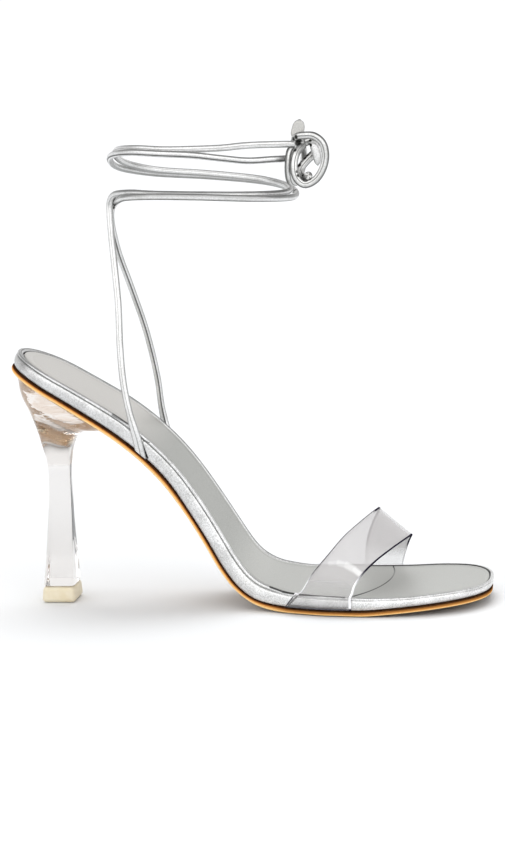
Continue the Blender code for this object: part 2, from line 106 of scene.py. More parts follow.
class Track:
    """A smooth curve through table rows that never overshoots a row."""

    def __init__(self, rows: Sequence[Row], column: int = 1) -> None:
        """Read one column of a table whose first column is the key.

        Args:
            rows: Table rows in rising order of their key.
            column: Column that holds the value.
        """
        self.keys = [float(row[0]) for row in rows]
        self.values = [float(row[column]) for row in rows]
        steps = [b - a for a, b in zip(self.keys, self.keys[1:])]
        rises = [(b - a) / step for a, b, step in zip(self.values, self.values[1:], steps)]
        self.slopes = [0.0] * len(rows)
        for i in range(1, len(rows) - 1):
            before, after = rises[i - 1], rises[i]
            if before * after > 0:
                self.slopes[i] = 2 * before * after / (before + after)

    def __call__(self, key: float) -> float:
        """Value at a key, held level beyond the ends.

        Args:
            key: The key.

        Returns:
            The value.
        """
        key = min(max(key, self.keys[0]), self.keys[-1])
        i = 0
        while i < len(self.keys) - 2 and key > self.keys[i + 1]:
            i += 1
        step = self.keys[i + 1] - self.keys[i]
        share = (key - self.keys[i]) / step
        return hermite(
            share, self.values[i], self.slopes[i] * step, self.values[i + 1], self.slopes[i + 1] * step
        )


def smooth_path(points: Sequence[Sequence[float]], steps: int = 24) -> Ring:
    """Dense smooth path through a route's points.

    Args:
        points: The route's own points.
        steps: Path points for each stretch between two of them.

    Returns:
        The path, from the first point to the last.
    """
    route = [Vector(point) for point in points]
    padded = [2 * route[0] - route[1]] + route + [2 * route[-1] - route[-2]]
    dense: Ring = []
    for p0, p1, p2, p3 in zip(padded, padded[1:], padded[2:], padded[3:]):
        chords = (p1 - p0, p2 - p1, p3 - p2)
        d0, d1, d2 = (max(chord.length, LEAST_CHORD) ** 0.5 for chord in chords)
        m1 = (p2 - p1) + d1 * ((p1 - p0) / d0 - (p2 - p0) / (d0 + d1))
        m2 = (p2 - p1) + d1 * ((p3 - p2) / d2 - (p3 - p1) / (d1 + d2))
        dense += [hermite(i / steps, p1, m1, p2, m2) for i in range(steps)]
    dense.append(route[-1])
    return dense


def even_path(dense: Ring, step: float) -> Ring:
    """Points of a dense path at even steps along it.

    Args:
        dense: The path.
        step: Distance wanted between two points.

    Returns:
        The points, both ends among them.
    """
    runs = [0.0]
    for a, b in zip(dense, dense[1:]):
        runs.append(runs[-1] + (b - a).length)
    count = max(2, round(runs[-1] / step))
    points: Ring = []
    at = 0
    for i in range(count + 1):
        run = runs[-1] * i / count
        while at < len(runs) - 2 and runs[at + 1] < run:
            at += 1
        t = (run - runs[at]) / max(runs[at + 1] - runs[at], LEAST_STEP)
        points.append(dense[at].lerp(dense[at + 1], min(t, 1.0)))
    return points


def path_length(points: Ring) -> float:
    """Length of a path."""
    return sum((b - a).length for a, b in zip(points, points[1:]))


def squared_circle(squareness: float, sides: int) -> list[tuple[float, float]]:
    """Unit loop between a circle and a square.

    Args:
        squareness: 2 for a circle, large for a square.
        sides: Points in the loop.

    Returns:
        Pairs along and across.
    """
    power = 2.0 / squareness
    loop = []
    for i in range(sides):
        angle = 2 * math.pi * (i + 0.5) / sides
        c, s = math.cos(angle), math.sin(angle)
        loop.append((math.copysign(abs(c) ** power, c), math.copysign(abs(s) ** power, s)))
    return loop


def shrink(ring: Ring, share: float, lift: Vector) -> Ring:
    """A ring drawn in to its middle by a share, and lifted."""
    middle = sum(ring, Vector()) / len(ring)
    return [point.lerp(middle, share) + lift for point in ring]


@dataclass
class SoleForm:
    """The bent sole: places a point given by its run, its side offset and its height."""

    length: float = 244.5
    heel_end_x: float = -18.2
    heel_round: float = 23.0
    toe_round: float = 50.0
    toe_power: float = 2.5
    flat_run: float = 176.0
    step: float = 0.5
    heel_steps: int = 24
    waist_steps: int = 120
    toe_steps: int = 34
    # Run from the heel end, pitch down towards the toe
    pitch_rows: Sequence[Row] = (
        (0, 28), (22, 31), (42, 32.5), (57, 38), (73, 45.5), (89, 54), (105, 58), (119, 60), (129, 54),
        (137, 41.5), (145, 27.5), (153, 12), (159, 5.5), (165, 0), (187, 0), (197, -4.5), (220, -4),
        (244.5, -2),
    )
    # Run, half width, shift to the inner side, slant of the cross line
    plan_rows: Sequence[Row] = (
        (0, 24.4, 0.0, 0.0), (23, 24.4, 0.0, 0.0), (45, 24.8, 0.0, 0.0), (70, 23.4, 0.0, 0.0),
        (100, 22.0, 0.0, 0.012), (127, 22.6, 0.0, 0.035), (149, 27.0, 0.5, 0.055), (164, 32.3, 1.5, 0.06),
        (180, 37.2, 1.5, 0.03), (197, 38.3, 0.6, 0.0), (244.5, 38.3, 2.2, 0.0),
    )
    # Run, height of the footbed wall over the outsole
    wall_rows: Sequence[Row] = (
        (0, 5.9), (60, 6.9), (110, 6.5), (150, 7.0), (166, 5.6), (188, 4.8), (215, 3.4), (244.5, 3.4),
    )
    # Run, share of the rim's width, lift of the outer rim and drop of the inner rim
    rim_rows: Sequence[Row] = (
        (0, 1.0, 0.0), (130, 1.0, 0.0), (190, 0.6, 0.7), (225, 0.55, 0.5), (244.5, 0.5, 0.0),
    )

    def __post_init__(self) -> None:
        """Prepare the tracks and the underside's middle line."""
        self.pitch = Track(self.pitch_rows)
        self.half = Track(self.plan_rows, 1)
        self.shift = Track(self.plan_rows, 2)
        self.slant = Track(self.plan_rows, 3)
        self.wall = Track(self.wall_rows)
        self.rim = Track(self.rim_rows, 1)
        self.lean = Track(self.rim_rows, 2)
        self.line = self.underside()

    def underside(self) -> list[tuple[float, float]]:
        """Lay out the underside's middle line, flat on the floor at the flat run.

        Returns:
            X and Z of its points, a step apart.
        """
        count, flat = round(self.length / self.step), round(self.flat_run / self.step)
        line = [(0.0, 0.0)] * (count + 1)
        for i in range(flat, count):
            angle = math.radians(self.pitch((i + 0.5) * self.step))
            x, z = line[i]
            line[i + 1] = (x + self.step * math.cos(angle), z - self.step * math.sin(angle))
        for i in range(flat, 0, -1):
            angle = math.radians(self.pitch((i - 0.5) * self.step))
            x, z = line[i]
            line[i - 1] = (x - self.step * math.cos(angle), z + self.step * math.sin(angle))
        offset = self.heel_end_x - line[0][0]
        return [(x + offset, z) for x, z in line]

    def normal(self, run: float) -> Vector:
        """Upward normal of the underside at a run."""
        angle = math.radians(self.pitch(run))
        return Vector((math.sin(angle), 0.0, math.cos(angle)))

    def place(self, run: float, side: float, height: float) -> Vector:
        """Point of the bent sole.

        Args:
            run: Distance along the sole from its heel end.
            side: Offset to the inner side.
            height: Height over the underside.

        Returns:
            The point, in millimetres.
        """
        held = min(max(run, 0.0), self.length)
        i = min(int(held / self.step), len(self.line) - 2)
        t = held / self.step - i
        angle = math.radians(self.pitch(run))
        x = self.line[i][0] * (1 - t) + self.line[i + 1][0] * t + (run - held) * math.cos(angle)
        z = self.line[i][1] * (1 - t) + self.line[i + 1][1] * t - (run - held) * math.sin(angle)
        return Vector((x + self.slant(run) * side, side, z)) + self.normal(run) * height

    def half_width(self, run: float) -> float:
        """Half width of the plan, rounded off at the heel and the toe.

        Args:
            run: Distance along the sole from its heel end.

        Returns:
            The half width.
        """
        rounding = 1.0
        toe_start = self.length - self.toe_round
        if run < self.heel_round:
            rounding = math.sqrt(max(0.0, 1 - (1 - run / self.heel_round) ** 2))
        if run > toe_start:
            turned = min(1.0, (run - toe_start) / self.toe_round)
            rounding = (1 - turned**self.toe_power) ** (1 / self.toe_power)
        return self.half(run) * rounding

    def edge(self, run: float, outer: bool) -> float:
        """Side offset of the plan outline at a run, on the outer or the inner side."""
        half = self.half_width(run)
        return self.shift(run) - half if outer else self.shift(run) + half

    def wall_top(self, run: float, across: float) -> float:
        """Height of the wall over the outsole at a place from -1, outer, to 1, inner."""
        return self.wall(run) - self.lean(run) * across

    def stations(self) -> list[float]:
        """Runs of the cross lines, close together where the plan turns.

        Returns:
            The runs, from the heel end to the toe.
        """
        toe_start = self.length - self.toe_round
        waist = toe_start - self.heel_round
        heel_turns = [math.pi / 2 * i / self.heel_steps for i in range(self.heel_steps)]
        toe_turns = [math.pi / 2 * i / self.toe_steps for i in range(self.toe_steps + 1)]
        runs = [self.heel_round * (1 - math.cos(turn)) for turn in heel_turns]
        runs += [self.heel_round + waist * i / self.waist_steps for i in range(self.waist_steps)]
        runs += [toe_start + self.toe_round * math.sin(turn) for turn in toe_turns]
        return runs

    def ring(self, inset: float, height: Callable[[float, float], float]) -> Ring:
        """Loop round the plan: out along the outer side, back along the inner side.

        Args:
            inset: Distance in from the plan outline at the heel; inside the outline it narrows to the toe.
            height: Height over the underside, from the run and the place from -1, outer, to 1, inner.

        Returns:
            The loop's points.
        """
        runs = self.stations()
        plan = [(run, self.edge(run, True)) for run in runs]
        plan += [(run, self.edge(run, False)) for run in reversed(runs[1:-1])]
        points: Ring = []
        for i, (run, side) in enumerate(plan):
            before, after = plan[i - 1], plan[(i + 1) % len(plan)]
            along = Vector((after[0] - before[0], after[1] - before[1])).normalized()
            step_in = inset * self.rim(run) if inset > 0 else inset
            at = run - along.y * step_in
            across = (side - self.shift(run)) / self.half(run)
            points.append(self.place(at, side + along.x * step_in, height(at, across)))
        return points

    def inward(self, ring: Ring, shares: Sequence[float]) -> list[Ring]:
        """Rings drawn in from a plan ring to the sole's middle line.

        Args:
            ring: The plan ring.
            shares: Shares of the way to the middle line.

        Returns:
            One ring for each share.
        """
        return [
            [point.lerp((point + ring[-i % len(ring)]) / 2, share) for i, point in enumerate(ring)]
            for share in shares
        ]


# Meshes


def lay_grid(name: str, rings: Sequence[Ring], closed: bool) -> bpy.types.Object:
    """Lay a primitive grid over rows of points, with the grid's own UV map.

    Args:
        name: Name of the new object.
        rings: Rows of points in millimetres, all of one length.
        closed: Whether each row runs back to its first point.

    Returns:
        The grid's object, with its place in its mesh.
    """
    columns = len(rings[0]) if closed else len(rings[0]) - 1
    rows = len(rings) - 1
    bpy.ops.object.select_all(action="DESELECT")
    bpy.ops.mesh.primitive_grid_add(x_subdivisions=columns, y_subdivisions=rows, size=1.0)
    grid = bpy.context.active_object
    grid.name = name
    for vertex in grid.data.vertices:
        column = round((vertex.co.x + 0.5) * columns) % len(rings[0])
        row = round((vertex.co.y + 0.5) * rows)
        vertex.co = rings[row][column] * MM
    return grid


def select_only(piece: bpy.types.Object) -> None:
    """Make a piece the active and only selected one.

    Args:
        piece: The piece.
    """
    bpy.ops.object.select_all(action="DESELECT")
    bpy.context.view_layer.objects.active = piece
    piece.select_set(True)


def close_seams(piece: bpy.types.Object, sharp: float = 180.0) -> None:
    """Merge a laid grid's seams and poles, turn its faces out and shade it smooth.

    Args:
        piece: The grid's object.
        sharp: Angle from which an edge stays sharp, in degrees.
    """
    select_only(piece)
    bpy.ops.object.mode_set(mode="EDIT")
    bpy.ops.mesh.select_all(action="SELECT")
    bpy.ops.mesh.remove_doubles(threshold=WELD)
    bpy.ops.mesh.dissolve_degenerate(threshold=WELD)
    bpy.ops.mesh.normals_make_consistent(inside=False)
    bpy.ops.object.mode_set(mode="OBJECT")
    bpy.ops.object.shade_smooth_by_angle(angle=math.radians(sharp))


def apply_modifier(piece: bpy.types.Object, kind: str, **settings: Any) -> None:
    """Add a modifier to a piece with its settings, and apply it.

    Args:
        piece: The piece.
        kind: The modifier's type.
        **settings: The modifier's values.
    """
    select_only(piece)
    modifier = piece.modifiers.new(kind.title(), kind)
    for name, value in settings.items():
        setattr(modifier, name, value)
    bpy.ops.object.modifier_apply(modifier=modifier.name)


def add_piece(
    piece: bpy.types.Object, material: bpy.types.Material, slot: str, nodes: Sequence[str] = ()
) -> bpy.types.Object:
    """Dress a finished piece, let it ride on the shoe and report it.

    Args:
        piece: The finished piece.
        material: Its finish, where it has none yet.
        slot: The record's material slot.
        nodes: The solids that it stands for.

    Returns:
        The piece.
    """
    if not piece.data.materials:
        piece.data.materials.append(material)
    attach(piece, "root")
    if nodes:
        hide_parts(*nodes)
    LOG.info("%s: %d faces, %s", piece.name, len(piece.data.polygons), slot)
    return piece


# Shader nodes


class Socket:
    """An output of a node, with Python's operators as Math nodes."""

    def __init__(self, sheet: NodeSheet, output: bpy.types.NodeSocket) -> None:
        """Wrap an output of a sheet's node."""
        self.sheet = sheet
        self.output = output

    def __add__(self, other: Socket | float) -> Socket:
        """Sum."""
        return self.sheet.math("ADD", self, other)

    __radd__ = __add__

    def __mul__(self, other: Socket | float) -> Socket:
        """Product."""
        return self.sheet.math("MULTIPLY", self, other)

    __rmul__ = __mul__

    def __sub__(self, other: Socket | float) -> Socket:
        """Difference."""
        return self.sheet.math("SUBTRACT", self, other)

    def __rsub__(self, other: Socket | float) -> Socket:
        """Difference from a number."""
        return self.sheet.math("SUBTRACT", other, self)

    def __pow__(self, other: Socket | float) -> Socket:
        """Power."""
        return self.sheet.math("POWER", self, other)

    def ramp(self, low: float, high: float) -> Socket:
        """Smooth step of this value from 0 at low to 1 at high."""
        settings = {"interpolation_type": "SMOOTHSTEP"}
        return self.sheet.node("ShaderNodeMapRange", settings, {0: self, 1: low, 2: high, 3: 0.0, 4: 1.0})


class NodeSheet:
    """The nodes of one material or of the world."""

    def __init__(self, tree: bpy.types.NodeTree) -> None:
        """Start from an empty tree."""
        self.tree = tree
        self.tree.nodes.clear()

    def node(
        self, kind: str, settings: dict[str, Any] | None = None, sockets: dict[str | int, Any] | None = None,
        output: str | int = 0,
    ) -> Socket | None:
        """Add a node.

        Args:
            kind: The node's type.
            settings: Its own settings.
            sockets: Values or links of its inputs.
            output: The output that is wanted.

        Returns:
            That output, or nothing where the node has none.
        """
        node = self.tree.nodes.new(kind)
        for name, value in (settings or {}).items():
            setattr(node, name, value)
        for key, value in (sockets or {}).items():
            if isinstance(value, Socket):
                self.tree.links.new(value.output, node.inputs[key])
            else:
                node.inputs[key].default_value = value
        return Socket(self, node.outputs[output]) if len(node.outputs) else None

    def math(self, operation: str, *values: Socket | float) -> Socket:
        """Math node on sockets and numbers."""
        return self.node("ShaderNodeMath", {"operation": operation}, dict(enumerate(values)))

    def blend(self, share: Socket | float, first: Any, second: Any) -> Socket:
        """Mix of two colours, each a socket or a colour, by a share of the second."""
        ends = [end if isinstance(end, Socket) else (*end, 1.0) for end in (first, second)]
        return self.node("ShaderNodeMix", {"data_type": "RGBA"}, {0: share, 6: ends[0], 7: ends[1]}, 2)

    def place(self, kind: str = "Object") -> Socket:
        """Coordinates of the surface."""
        return self.node("ShaderNodeTexCoord", output=kind)

    def axis(self, name: str, kind: str = "Object") -> Socket:
        """One of the surface's coordinates."""
        return self.node("ShaderNodeSeparateXYZ", sockets={0: self.place(kind)}, output=name)

    def away(self, middle: Sequence[float]) -> Socket:
        """Distance from a point that is given in millimetres."""
        ends = {0: self.place(), 1: metres(middle)}
        return self.node("ShaderNodeVectorMath", {"operation": "DISTANCE"}, ends, "Value")

    def most(self, masks: Iterable[Socket]) -> Socket | float:
        """Largest of several masks.

        Args:
            masks: The masks.

        Returns:
            Their largest value, or 0 where there are none.
        """
        largest: Socket | float = 0.0
        for mask in masks:
            largest = self.math("MAXIMUM", largest, mask)
        return largest

    def noise(self, size: float, detail: float = 2.0, where: Socket | None = None) -> Socket:
        """Soft noise with features of a size in millimetres, about 0.5 on average."""
        sockets = {"Vector": where or self.place(), "Scale": 1.0 / (size * MM), "Detail": detail}
        return self.node("ShaderNodeTexNoise", sockets=sockets, output="Fac")

    def cells(self, size: float) -> Socket:
        """Distance to the nearest of scattered points a size in millimetres apart."""
        sockets = {"Vector": self.place(), "Scale": 1.0 / (size * MM)}
        return self.node("ShaderNodeTexVoronoi", {"feature": "F1"}, sockets, "Distance")

    def mark(self, row: Row) -> Socket:
        """Mask of a straight mark on the outer side.

        Args:
            row: X and Z of both ends in millimetres, half width, strength.

        Returns:
            The mask, from 0 to the strength.
        """
        *line, strength = row
        start_x, start_z, end_x, end_z, half = metres(line)
        along_x, along_z = end_x - start_x, end_z - start_z
        x, y, z = (self.axis(name) for name in "XYZ")
        way = ((x - start_x) * along_x + (z - start_z) * along_z) * (1 / (along_x**2 + along_z**2))
        way = self.math("MINIMUM", self.math("MAXIMUM", way, 0.0), 1.0)
        away = ((x - start_x - way * along_x) ** 2.0 + (z - start_z - way * along_z) ** 2.0) ** 0.5
        return (1 - away.ramp(half * 0.3, half)) * (1 - y.ramp(-2 * MM, 0.0)) * strength

    def bump(self, height: Socket, depth: float) -> Socket:
        """Normal of a surface whose relief has a depth in millimetres."""
        sockets = {"Strength": 1.0, "Distance": depth * MM, "Height": height}
        return self.node("ShaderNodeBump", sockets=sockets)

    def surface(self, **sockets: Any) -> None:
        """Lay a principled surface and the material's output.

        Args:
            **sockets: The surface's sockets, named with an underscore for each space.
        """
        named = {name.replace("_", " "): value for name, value in sockets.items()}
        shader = self.node("ShaderNodeBsdfPrincipled", sockets=named)
        self.node("ShaderNodeOutputMaterial", sockets={"Surface": shader})


# Finishes


class UvAxis(Enum):
    """Axis of a piece's UV map: round a ring, or from row to row."""

    ROUND = "X"
    ROWS = "Y"


class Finish:
    """A named finish, whose nodes its own class lays."""

    name: str

    def lay(self, sheet: NodeSheet) -> None:
        """Lay the finish's nodes on an empty sheet."""
        raise NotImplementedError

    def material(self) -> bpy.types.Material:
        """Make the finish a material.

        Returns:
            The material.
        """
        material = bpy.data.materials.new(self.name)
        material.use_nodes = True
        self.lay(NodeSheet(material.node_tree))
        return material


@dataclass(frozen=True)
class SilverLeather(Finish):
    """Foiled silver leather with a fine grain, and painted shade: dark lines, spots and marks where shade
    falls on it.
    """

    name: str = "silver_leather"
    light: Colour = (0.84, 0.84, 0.84)
    dark: Colour = (0.56, 0.56, 0.55)
    # Colour of the painted shade
    painted_shade: Colour = (0.03, 0.03, 0.028)
    axis: UvAxis = UvAxis.ROWS
    # Painted shade lines: place on the UV axis, half width, strength, and the X values between which one
    # fades
    shade_lines: tuple[Row, ...] = ()
    # Painted shade spots in folds and between parts: middle, radius, strength
    shade_spots: tuple[Row, ...] = ()
    # Painted shade marks on the outer side: X and Z of both ends, half width, strength
    shade_marks: tuple[Row, ...] = ()
    # Painted shade at the heel: share of the tone that is lost there, and the X value by which it is back
    heel_shade: Row = ()
    # Sizes of the grain, the speckle and the cloudy patches, and the depth of the grain
    grain: float = 0.55
    speckle: float = 0.4
    patch: float = 7.0
    depth: float = 0.05
    roughness: float = 0.26
    metallic: float = 0.92

    def painted_shade_masks(self, sheet: NodeSheet) -> Iterator[Socket]:
        """Masks of the painted shade: its lines, spots and marks.

        Args:
            sheet: Node sheet of the material.

        Yields:
            One mask for each, from 0 to its strength.
        """
        at = sheet.axis(self.axis.value, "UV")
        for centre, half, strength, *fade in self.shade_lines:
            near = (1 - sheet.math("ABSOLUTE", at - centre).ramp(half * 0.45, half)) * strength
            yield near * (1 - sheet.axis("X").ramp(*metres(fade))) if fade else near
        for *middle, radius, strength in self.shade_spots:
            yield (1 - sheet.away(middle).ramp(radius * MM * 0.5, radius * MM)) * strength
        for mark in self.shade_marks:
            yield sheet.mark(mark)

    def lay(self, sheet: NodeSheet) -> None:
        """Lay the finish's nodes on an empty sheet.

        Args:
            sheet: The sheet.
        """
        grain = sheet.cells(self.grain)
        speckle = sheet.noise(self.speckle, 3.0)
        shade = (speckle * 0.9 + sheet.noise(self.patch) * 0.4).ramp(0.4, 0.9)
        colour = sheet.blend(shade, self.dark, self.light)
        # Painted shade: the tone darkens towards the heel
        if self.heel_shade:
            lost, back = self.heel_shade
            fall = 1 - sheet.axis("X").ramp(-back * MM, back * MM)
            colour = sheet.blend(fall * lost * 2, colour, (0.0, 0.0, 0.0))
        # Painted shade: lines, spots and marks darken the colour
        if self.shade_lines or self.shade_spots or self.shade_marks:
            colour = sheet.blend(sheet.most(self.painted_shade_masks(sheet)), colour, self.painted_shade)
        sheet.surface(
            Base_Color=colour,
            Metallic=self.metallic,
            Roughness=self.roughness + speckle * 0.2,
            Normal=sheet.bump(grain * 0.6 + speckle * 0.8, self.depth),
        )


@dataclass(frozen=True)
class SockLining(Finish):
    """Satin grey lining with a soft metallic sheen, painted darker as shade at the steep waist, and with the
    painted shadow of the band's front edge on the forefoot.
    """

    name: str = "sock_lining"
    heel: Colour = (0.66, 0.64, 0.61)
    # Painted shade: the steep waist's darker tone
    waist: Colour = (0.345, 0.35, 0.33)
    ball: Colour = (0.58, 0.585, 0.56)
    sheen: Colour = (0.86, 0.86, 0.84)
    # Colour of the painted shadow of the band's front edge
    line: Colour = (0.02, 0.02, 0.02)
    # X values between which one tone turns into the next
    turns: tuple[Row, ...] = ((30.0, 52.0), (72.0, 90.0))
    # Painted shadow of the band's front edge on the forefoot, an arc: middle of its arc, radius, half width
    # at its start, X values at its ends
    strap_shadow_arc: Row = (36.5, 18.7, 105.2, 1.1, 126.0, 143.0)
    # How much the painted shadow thins to its end, and the length over which it fades there
    strap_shadow_thinning: float = 1.6
    strap_shadow_fade: float = 3.0
    grain: float = 0.45
    depth: float = 0.02
    roughness: float = 0.42
    metallic: float = 0.75

    def lay(self, sheet: NodeSheet) -> None:
        """Lay the finish's nodes on an empty sheet.

        Args:
            sheet: The sheet.
        """
        x, y = (sheet.axis(name) for name in "XY")
        to_waist, to_ball = (x.ramp(*metres(turn)) for turn in self.turns)
        grain = sheet.noise(self.grain, 3.0)
        tone = sheet.blend(to_waist, self.heel, self.waist)
        tone = sheet.blend(to_ball, tone, self.ball)
        tone = sheet.blend(grain.ramp(0.25, 0.75) * 0.3, tone, self.sheen)
        # Painted shadow of the band's front edge: a thin dark arc
        middle_x, middle_y, radius, half, start, end = metres(self.strap_shadow_arc)
        reach = ((x - middle_x) ** 2.0 + (y - middle_y) ** 2.0) ** 0.5
        away = sheet.math("ABSOLUTE", reach - radius) * (1 + x.ramp(start, end) * self.strap_shadow_thinning)
        ends = x.ramp(start - MM, start) * (1 - x.ramp(end - self.strap_shadow_fade * MM, end))
        sheet.surface(
            Base_Color=sheet.blend((1 - away.ramp(half * 0.4, half)) * ends, tone, self.line),
            Metallic=self.metallic,
            Roughness=self.roughness + grain * 0.12,
            Normal=sheet.bump(grain, self.depth),
        )


@dataclass(frozen=True)
class SoleLeather(Finish):
    """Waxed leather sole: burnt line at the top of its edge, tan middle, pale lower edge with a painted
    contact shadow along the forefoot's foot, tan underside.
    """

    name: str = "sole_leather"
    # Colour of the burnt line, also used for the painted contact shadow
    burnt_and_shadow: Colour = (0.008, 0.001, 0.001)
    brown: Colour = (0.22, 0.06, 0.012)
    fore_brown: Colour = (0.34, 0.14, 0.035)
    tan: Colour = (0.72, 0.34, 0.09)
    pale: Colour = (0.95, 0.66, 0.31)
    under: Colour = (0.42, 0.33, 0.25)
    worn: Colour = (0.3, 0.14, 0.05)
    # Stops of the edge at the heel, the arch and the forefoot, as shares up the UV map
    stops: tuple[Row, ...] = ()
    # X values between which the heel's edge turns into the arch's, and that into the browner forefoot's
    turns: tuple[Row, ...] = ((44.0, 62.0), (88.0, 106.0))
    # Height on the UV map of the forefoot's painted contact shadow, a dark foot line
    contact_shadow_height: float = 0.03
    fibre: float = 0.5
    waver: float = 0.9
    depth: float = 0.02

    def edge(self, sheet: NodeSheet, rise: Socket, stops: Sequence[float], brown: Colour) -> Socket:
        """Colour up the edge.

        Args:
            sheet: Node sheet of the material.
            rise: Place up the UV map.
            stops: Places at which the edge starts, and at which it is pale, tan, brown and burnt.
            brown: Colour between the tan and the burnt line.

        Returns:
            The colour.
        """
        colour = sheet.blend(rise.ramp(stops[1], stops[2]), self.pale, self.tan)
        colour = sheet.blend(rise.ramp(stops[2], stops[3]), colour, brown)
        return sheet.blend(rise.ramp(stops[3], stops[4]), colour, self.burnt_and_shadow)

    def lay(self, sheet: NodeSheet) -> None:
        """Lay the finish's nodes on an empty sheet.

        Args:
            sheet: The sheet.
        """
        heel, arch, fore = self.stops
        rise = sheet.axis("Y", "UV") + (sheet.noise(self.waver, 3.0) - 0.5) * 0.03
        fibre = sheet.noise(self.fibre, 3.0)
        x = sheet.axis("X")
        to_arch, to_fore = (x.ramp(*metres(turn)) for turn in self.turns)
        rear = sheet.blend(
            to_arch, self.edge(sheet, rise, heel, self.brown), self.edge(sheet, rise, arch, self.brown)
        )
        colour = sheet.blend(to_fore, rear, self.edge(sheet, rise, fore, self.fore_brown))
        # Painted contact shadow along the foot of the forefoot's edge
        foot = (1 - rise.ramp(fore[0], fore[0] + self.contact_shadow_height)) * to_fore
        colour = sheet.blend(foot, colour, self.burnt_and_shadow)
        colour = sheet.blend(rise.ramp(heel[0] - 0.02, heel[0]), self.under, colour)
        sheet.surface(
            Base_Color=sheet.blend(fibre.ramp(0.3, 0.8) * 0.25, colour, self.worn),
            Roughness=0.4 + fibre * 0.2,
            Specular_IOR_Level=0.0,
            Normal=sheet.bump(fibre, self.depth),
        )


@dataclass(frozen=True)
class ClearAcrylic(Finish):
    """Polished clear block: pale in its column, tan with streaks in its flare, amber between the two; the
    tan, the streaks and the amber are a painted refraction of the tan sole seen through the block.
    """

    name: str = "clear_acrylic"
    column: Colour = (0.83, 0.81, 0.795)
    clear: Colour = (0.93, 0.89, 0.86)
    tan: Colour = (0.74, 0.61, 0.51)
    amber: Colour = (0.76, 0.6, 0.41)
    # Height at the block's middle where the amber starts, how it falls to the front, and its width
    amber_level: float = 70.2
    amber_fall: float = 0.41
    amber_width: float = 5.5
    # Size of the streaks, how they are stretched along the amber, and their depth
    streak: float = 5.0
    streak_scale: Row = (0.3, 1.0, 1.8)
    streak_depth: float = 0.35
    haze: float = 14.0
    refraction: float = 1.49

    def lay(self, sheet: NodeSheet) -> None:
        """Lay the finish's nodes on an empty sheet.

        Args:
            sheet: The sheet.
        """
        rise = sheet.axis("Z") + sheet.axis("X") * self.amber_fall
        level, width = metres((self.amber_level, self.amber_width))
        flare = rise.ramp(level - MM, level + MM)
        band = flare * (1 - rise.ramp(level + width - MM, level + width + MM))
        turn = (0.0, math.atan(self.amber_fall), 0.0)
        sockets = {"Vector": sheet.place(), "Rotation": turn, "Scale": self.streak_scale}
        streak = sheet.noise(self.streak, 2.0, sheet.node("ShaderNodeMapping", sockets=sockets))
        # Painted refraction of the tan sole seen through the flare
        tone = sheet.blend(streak.ramp(0.42, 0.62), self.clear, self.tan)
        tone = sheet.blend(band, tone, self.amber)
        sheet.surface(
            Base_Color=sheet.blend(flare, self.column, tone),
            Roughness=0.01 + sheet.noise(self.haze, 1.0) * 0.02,
            IOR=self.refraction,
            Transmission_Weight=1.0,
            Normal=sheet.bump(streak * flare, self.streak_depth),
        )


@dataclass(frozen=True)
class ScrewSteel(Finish):
    """Bright steel of the heel screw, with a warm tarnish."""

    name: str = "screw_steel"
    bright: Colour = (0.9, 0.86, 0.76)
    tarnish: Colour = (0.42, 0.32, 0.2)
    cloud: float = 1.2

    def lay(self, sheet: NodeSheet) -> None:
        """Lay the finish's nodes on an empty sheet.

        Args:
            sheet: The sheet.
        """
        cloud = sheet.noise(self.cloud)
        colour = sheet.blend(cloud.ramp(0.4, 0.65), self.bright, self.tarnish)
        sheet.surface(Base_Color=colour, Metallic=1.0, Roughness=0.2 + cloud * 0.15)


@dataclass(frozen=True)
class GluedSeat(Finish):
    """Face of the clear block that is glued to the tan sole, as it shows through the block."""

    name: str = "glued_seat"
    tan: Colour = (0.64, 0.4, 0.2)
    pale: Colour = (0.82, 0.66, 0.52)
    streak: float = 6.0

    def lay(self, sheet: NodeSheet) -> None:
        """Lay the finish's nodes on an empty sheet."""
        colour = sheet.blend(sheet.noise(self.streak).ramp(0.35, 0.65), self.tan, self.pale)
        sheet.surface(Base_Color=colour, Roughness=0.5)


@dataclass(frozen=True)
class IvoryTip(Finish):
    """Satin ivory top piece."""

    name: str = "ivory_tip"
    light: Colour = (0.7, 0.63, 0.48)
    deep: Colour = (0.62, 0.52, 0.33)
    cloud: float = 3.5
    fine: float = 0.4
    depth: float = 0.015

    def lay(self, sheet: NodeSheet) -> None:
        """Lay the finish's nodes on an empty sheet.

        Args:
            sheet: The sheet.
        """
        fine = sheet.noise(self.fine)
        sheet.surface(
            Base_Color=sheet.blend(sheet.noise(self.cloud).ramp(0.35, 0.75) * 0.5, self.light, self.deep),
            Roughness=0.42 + fine * 0.12,
            Normal=sheet.bump(fine, self.depth),
        )


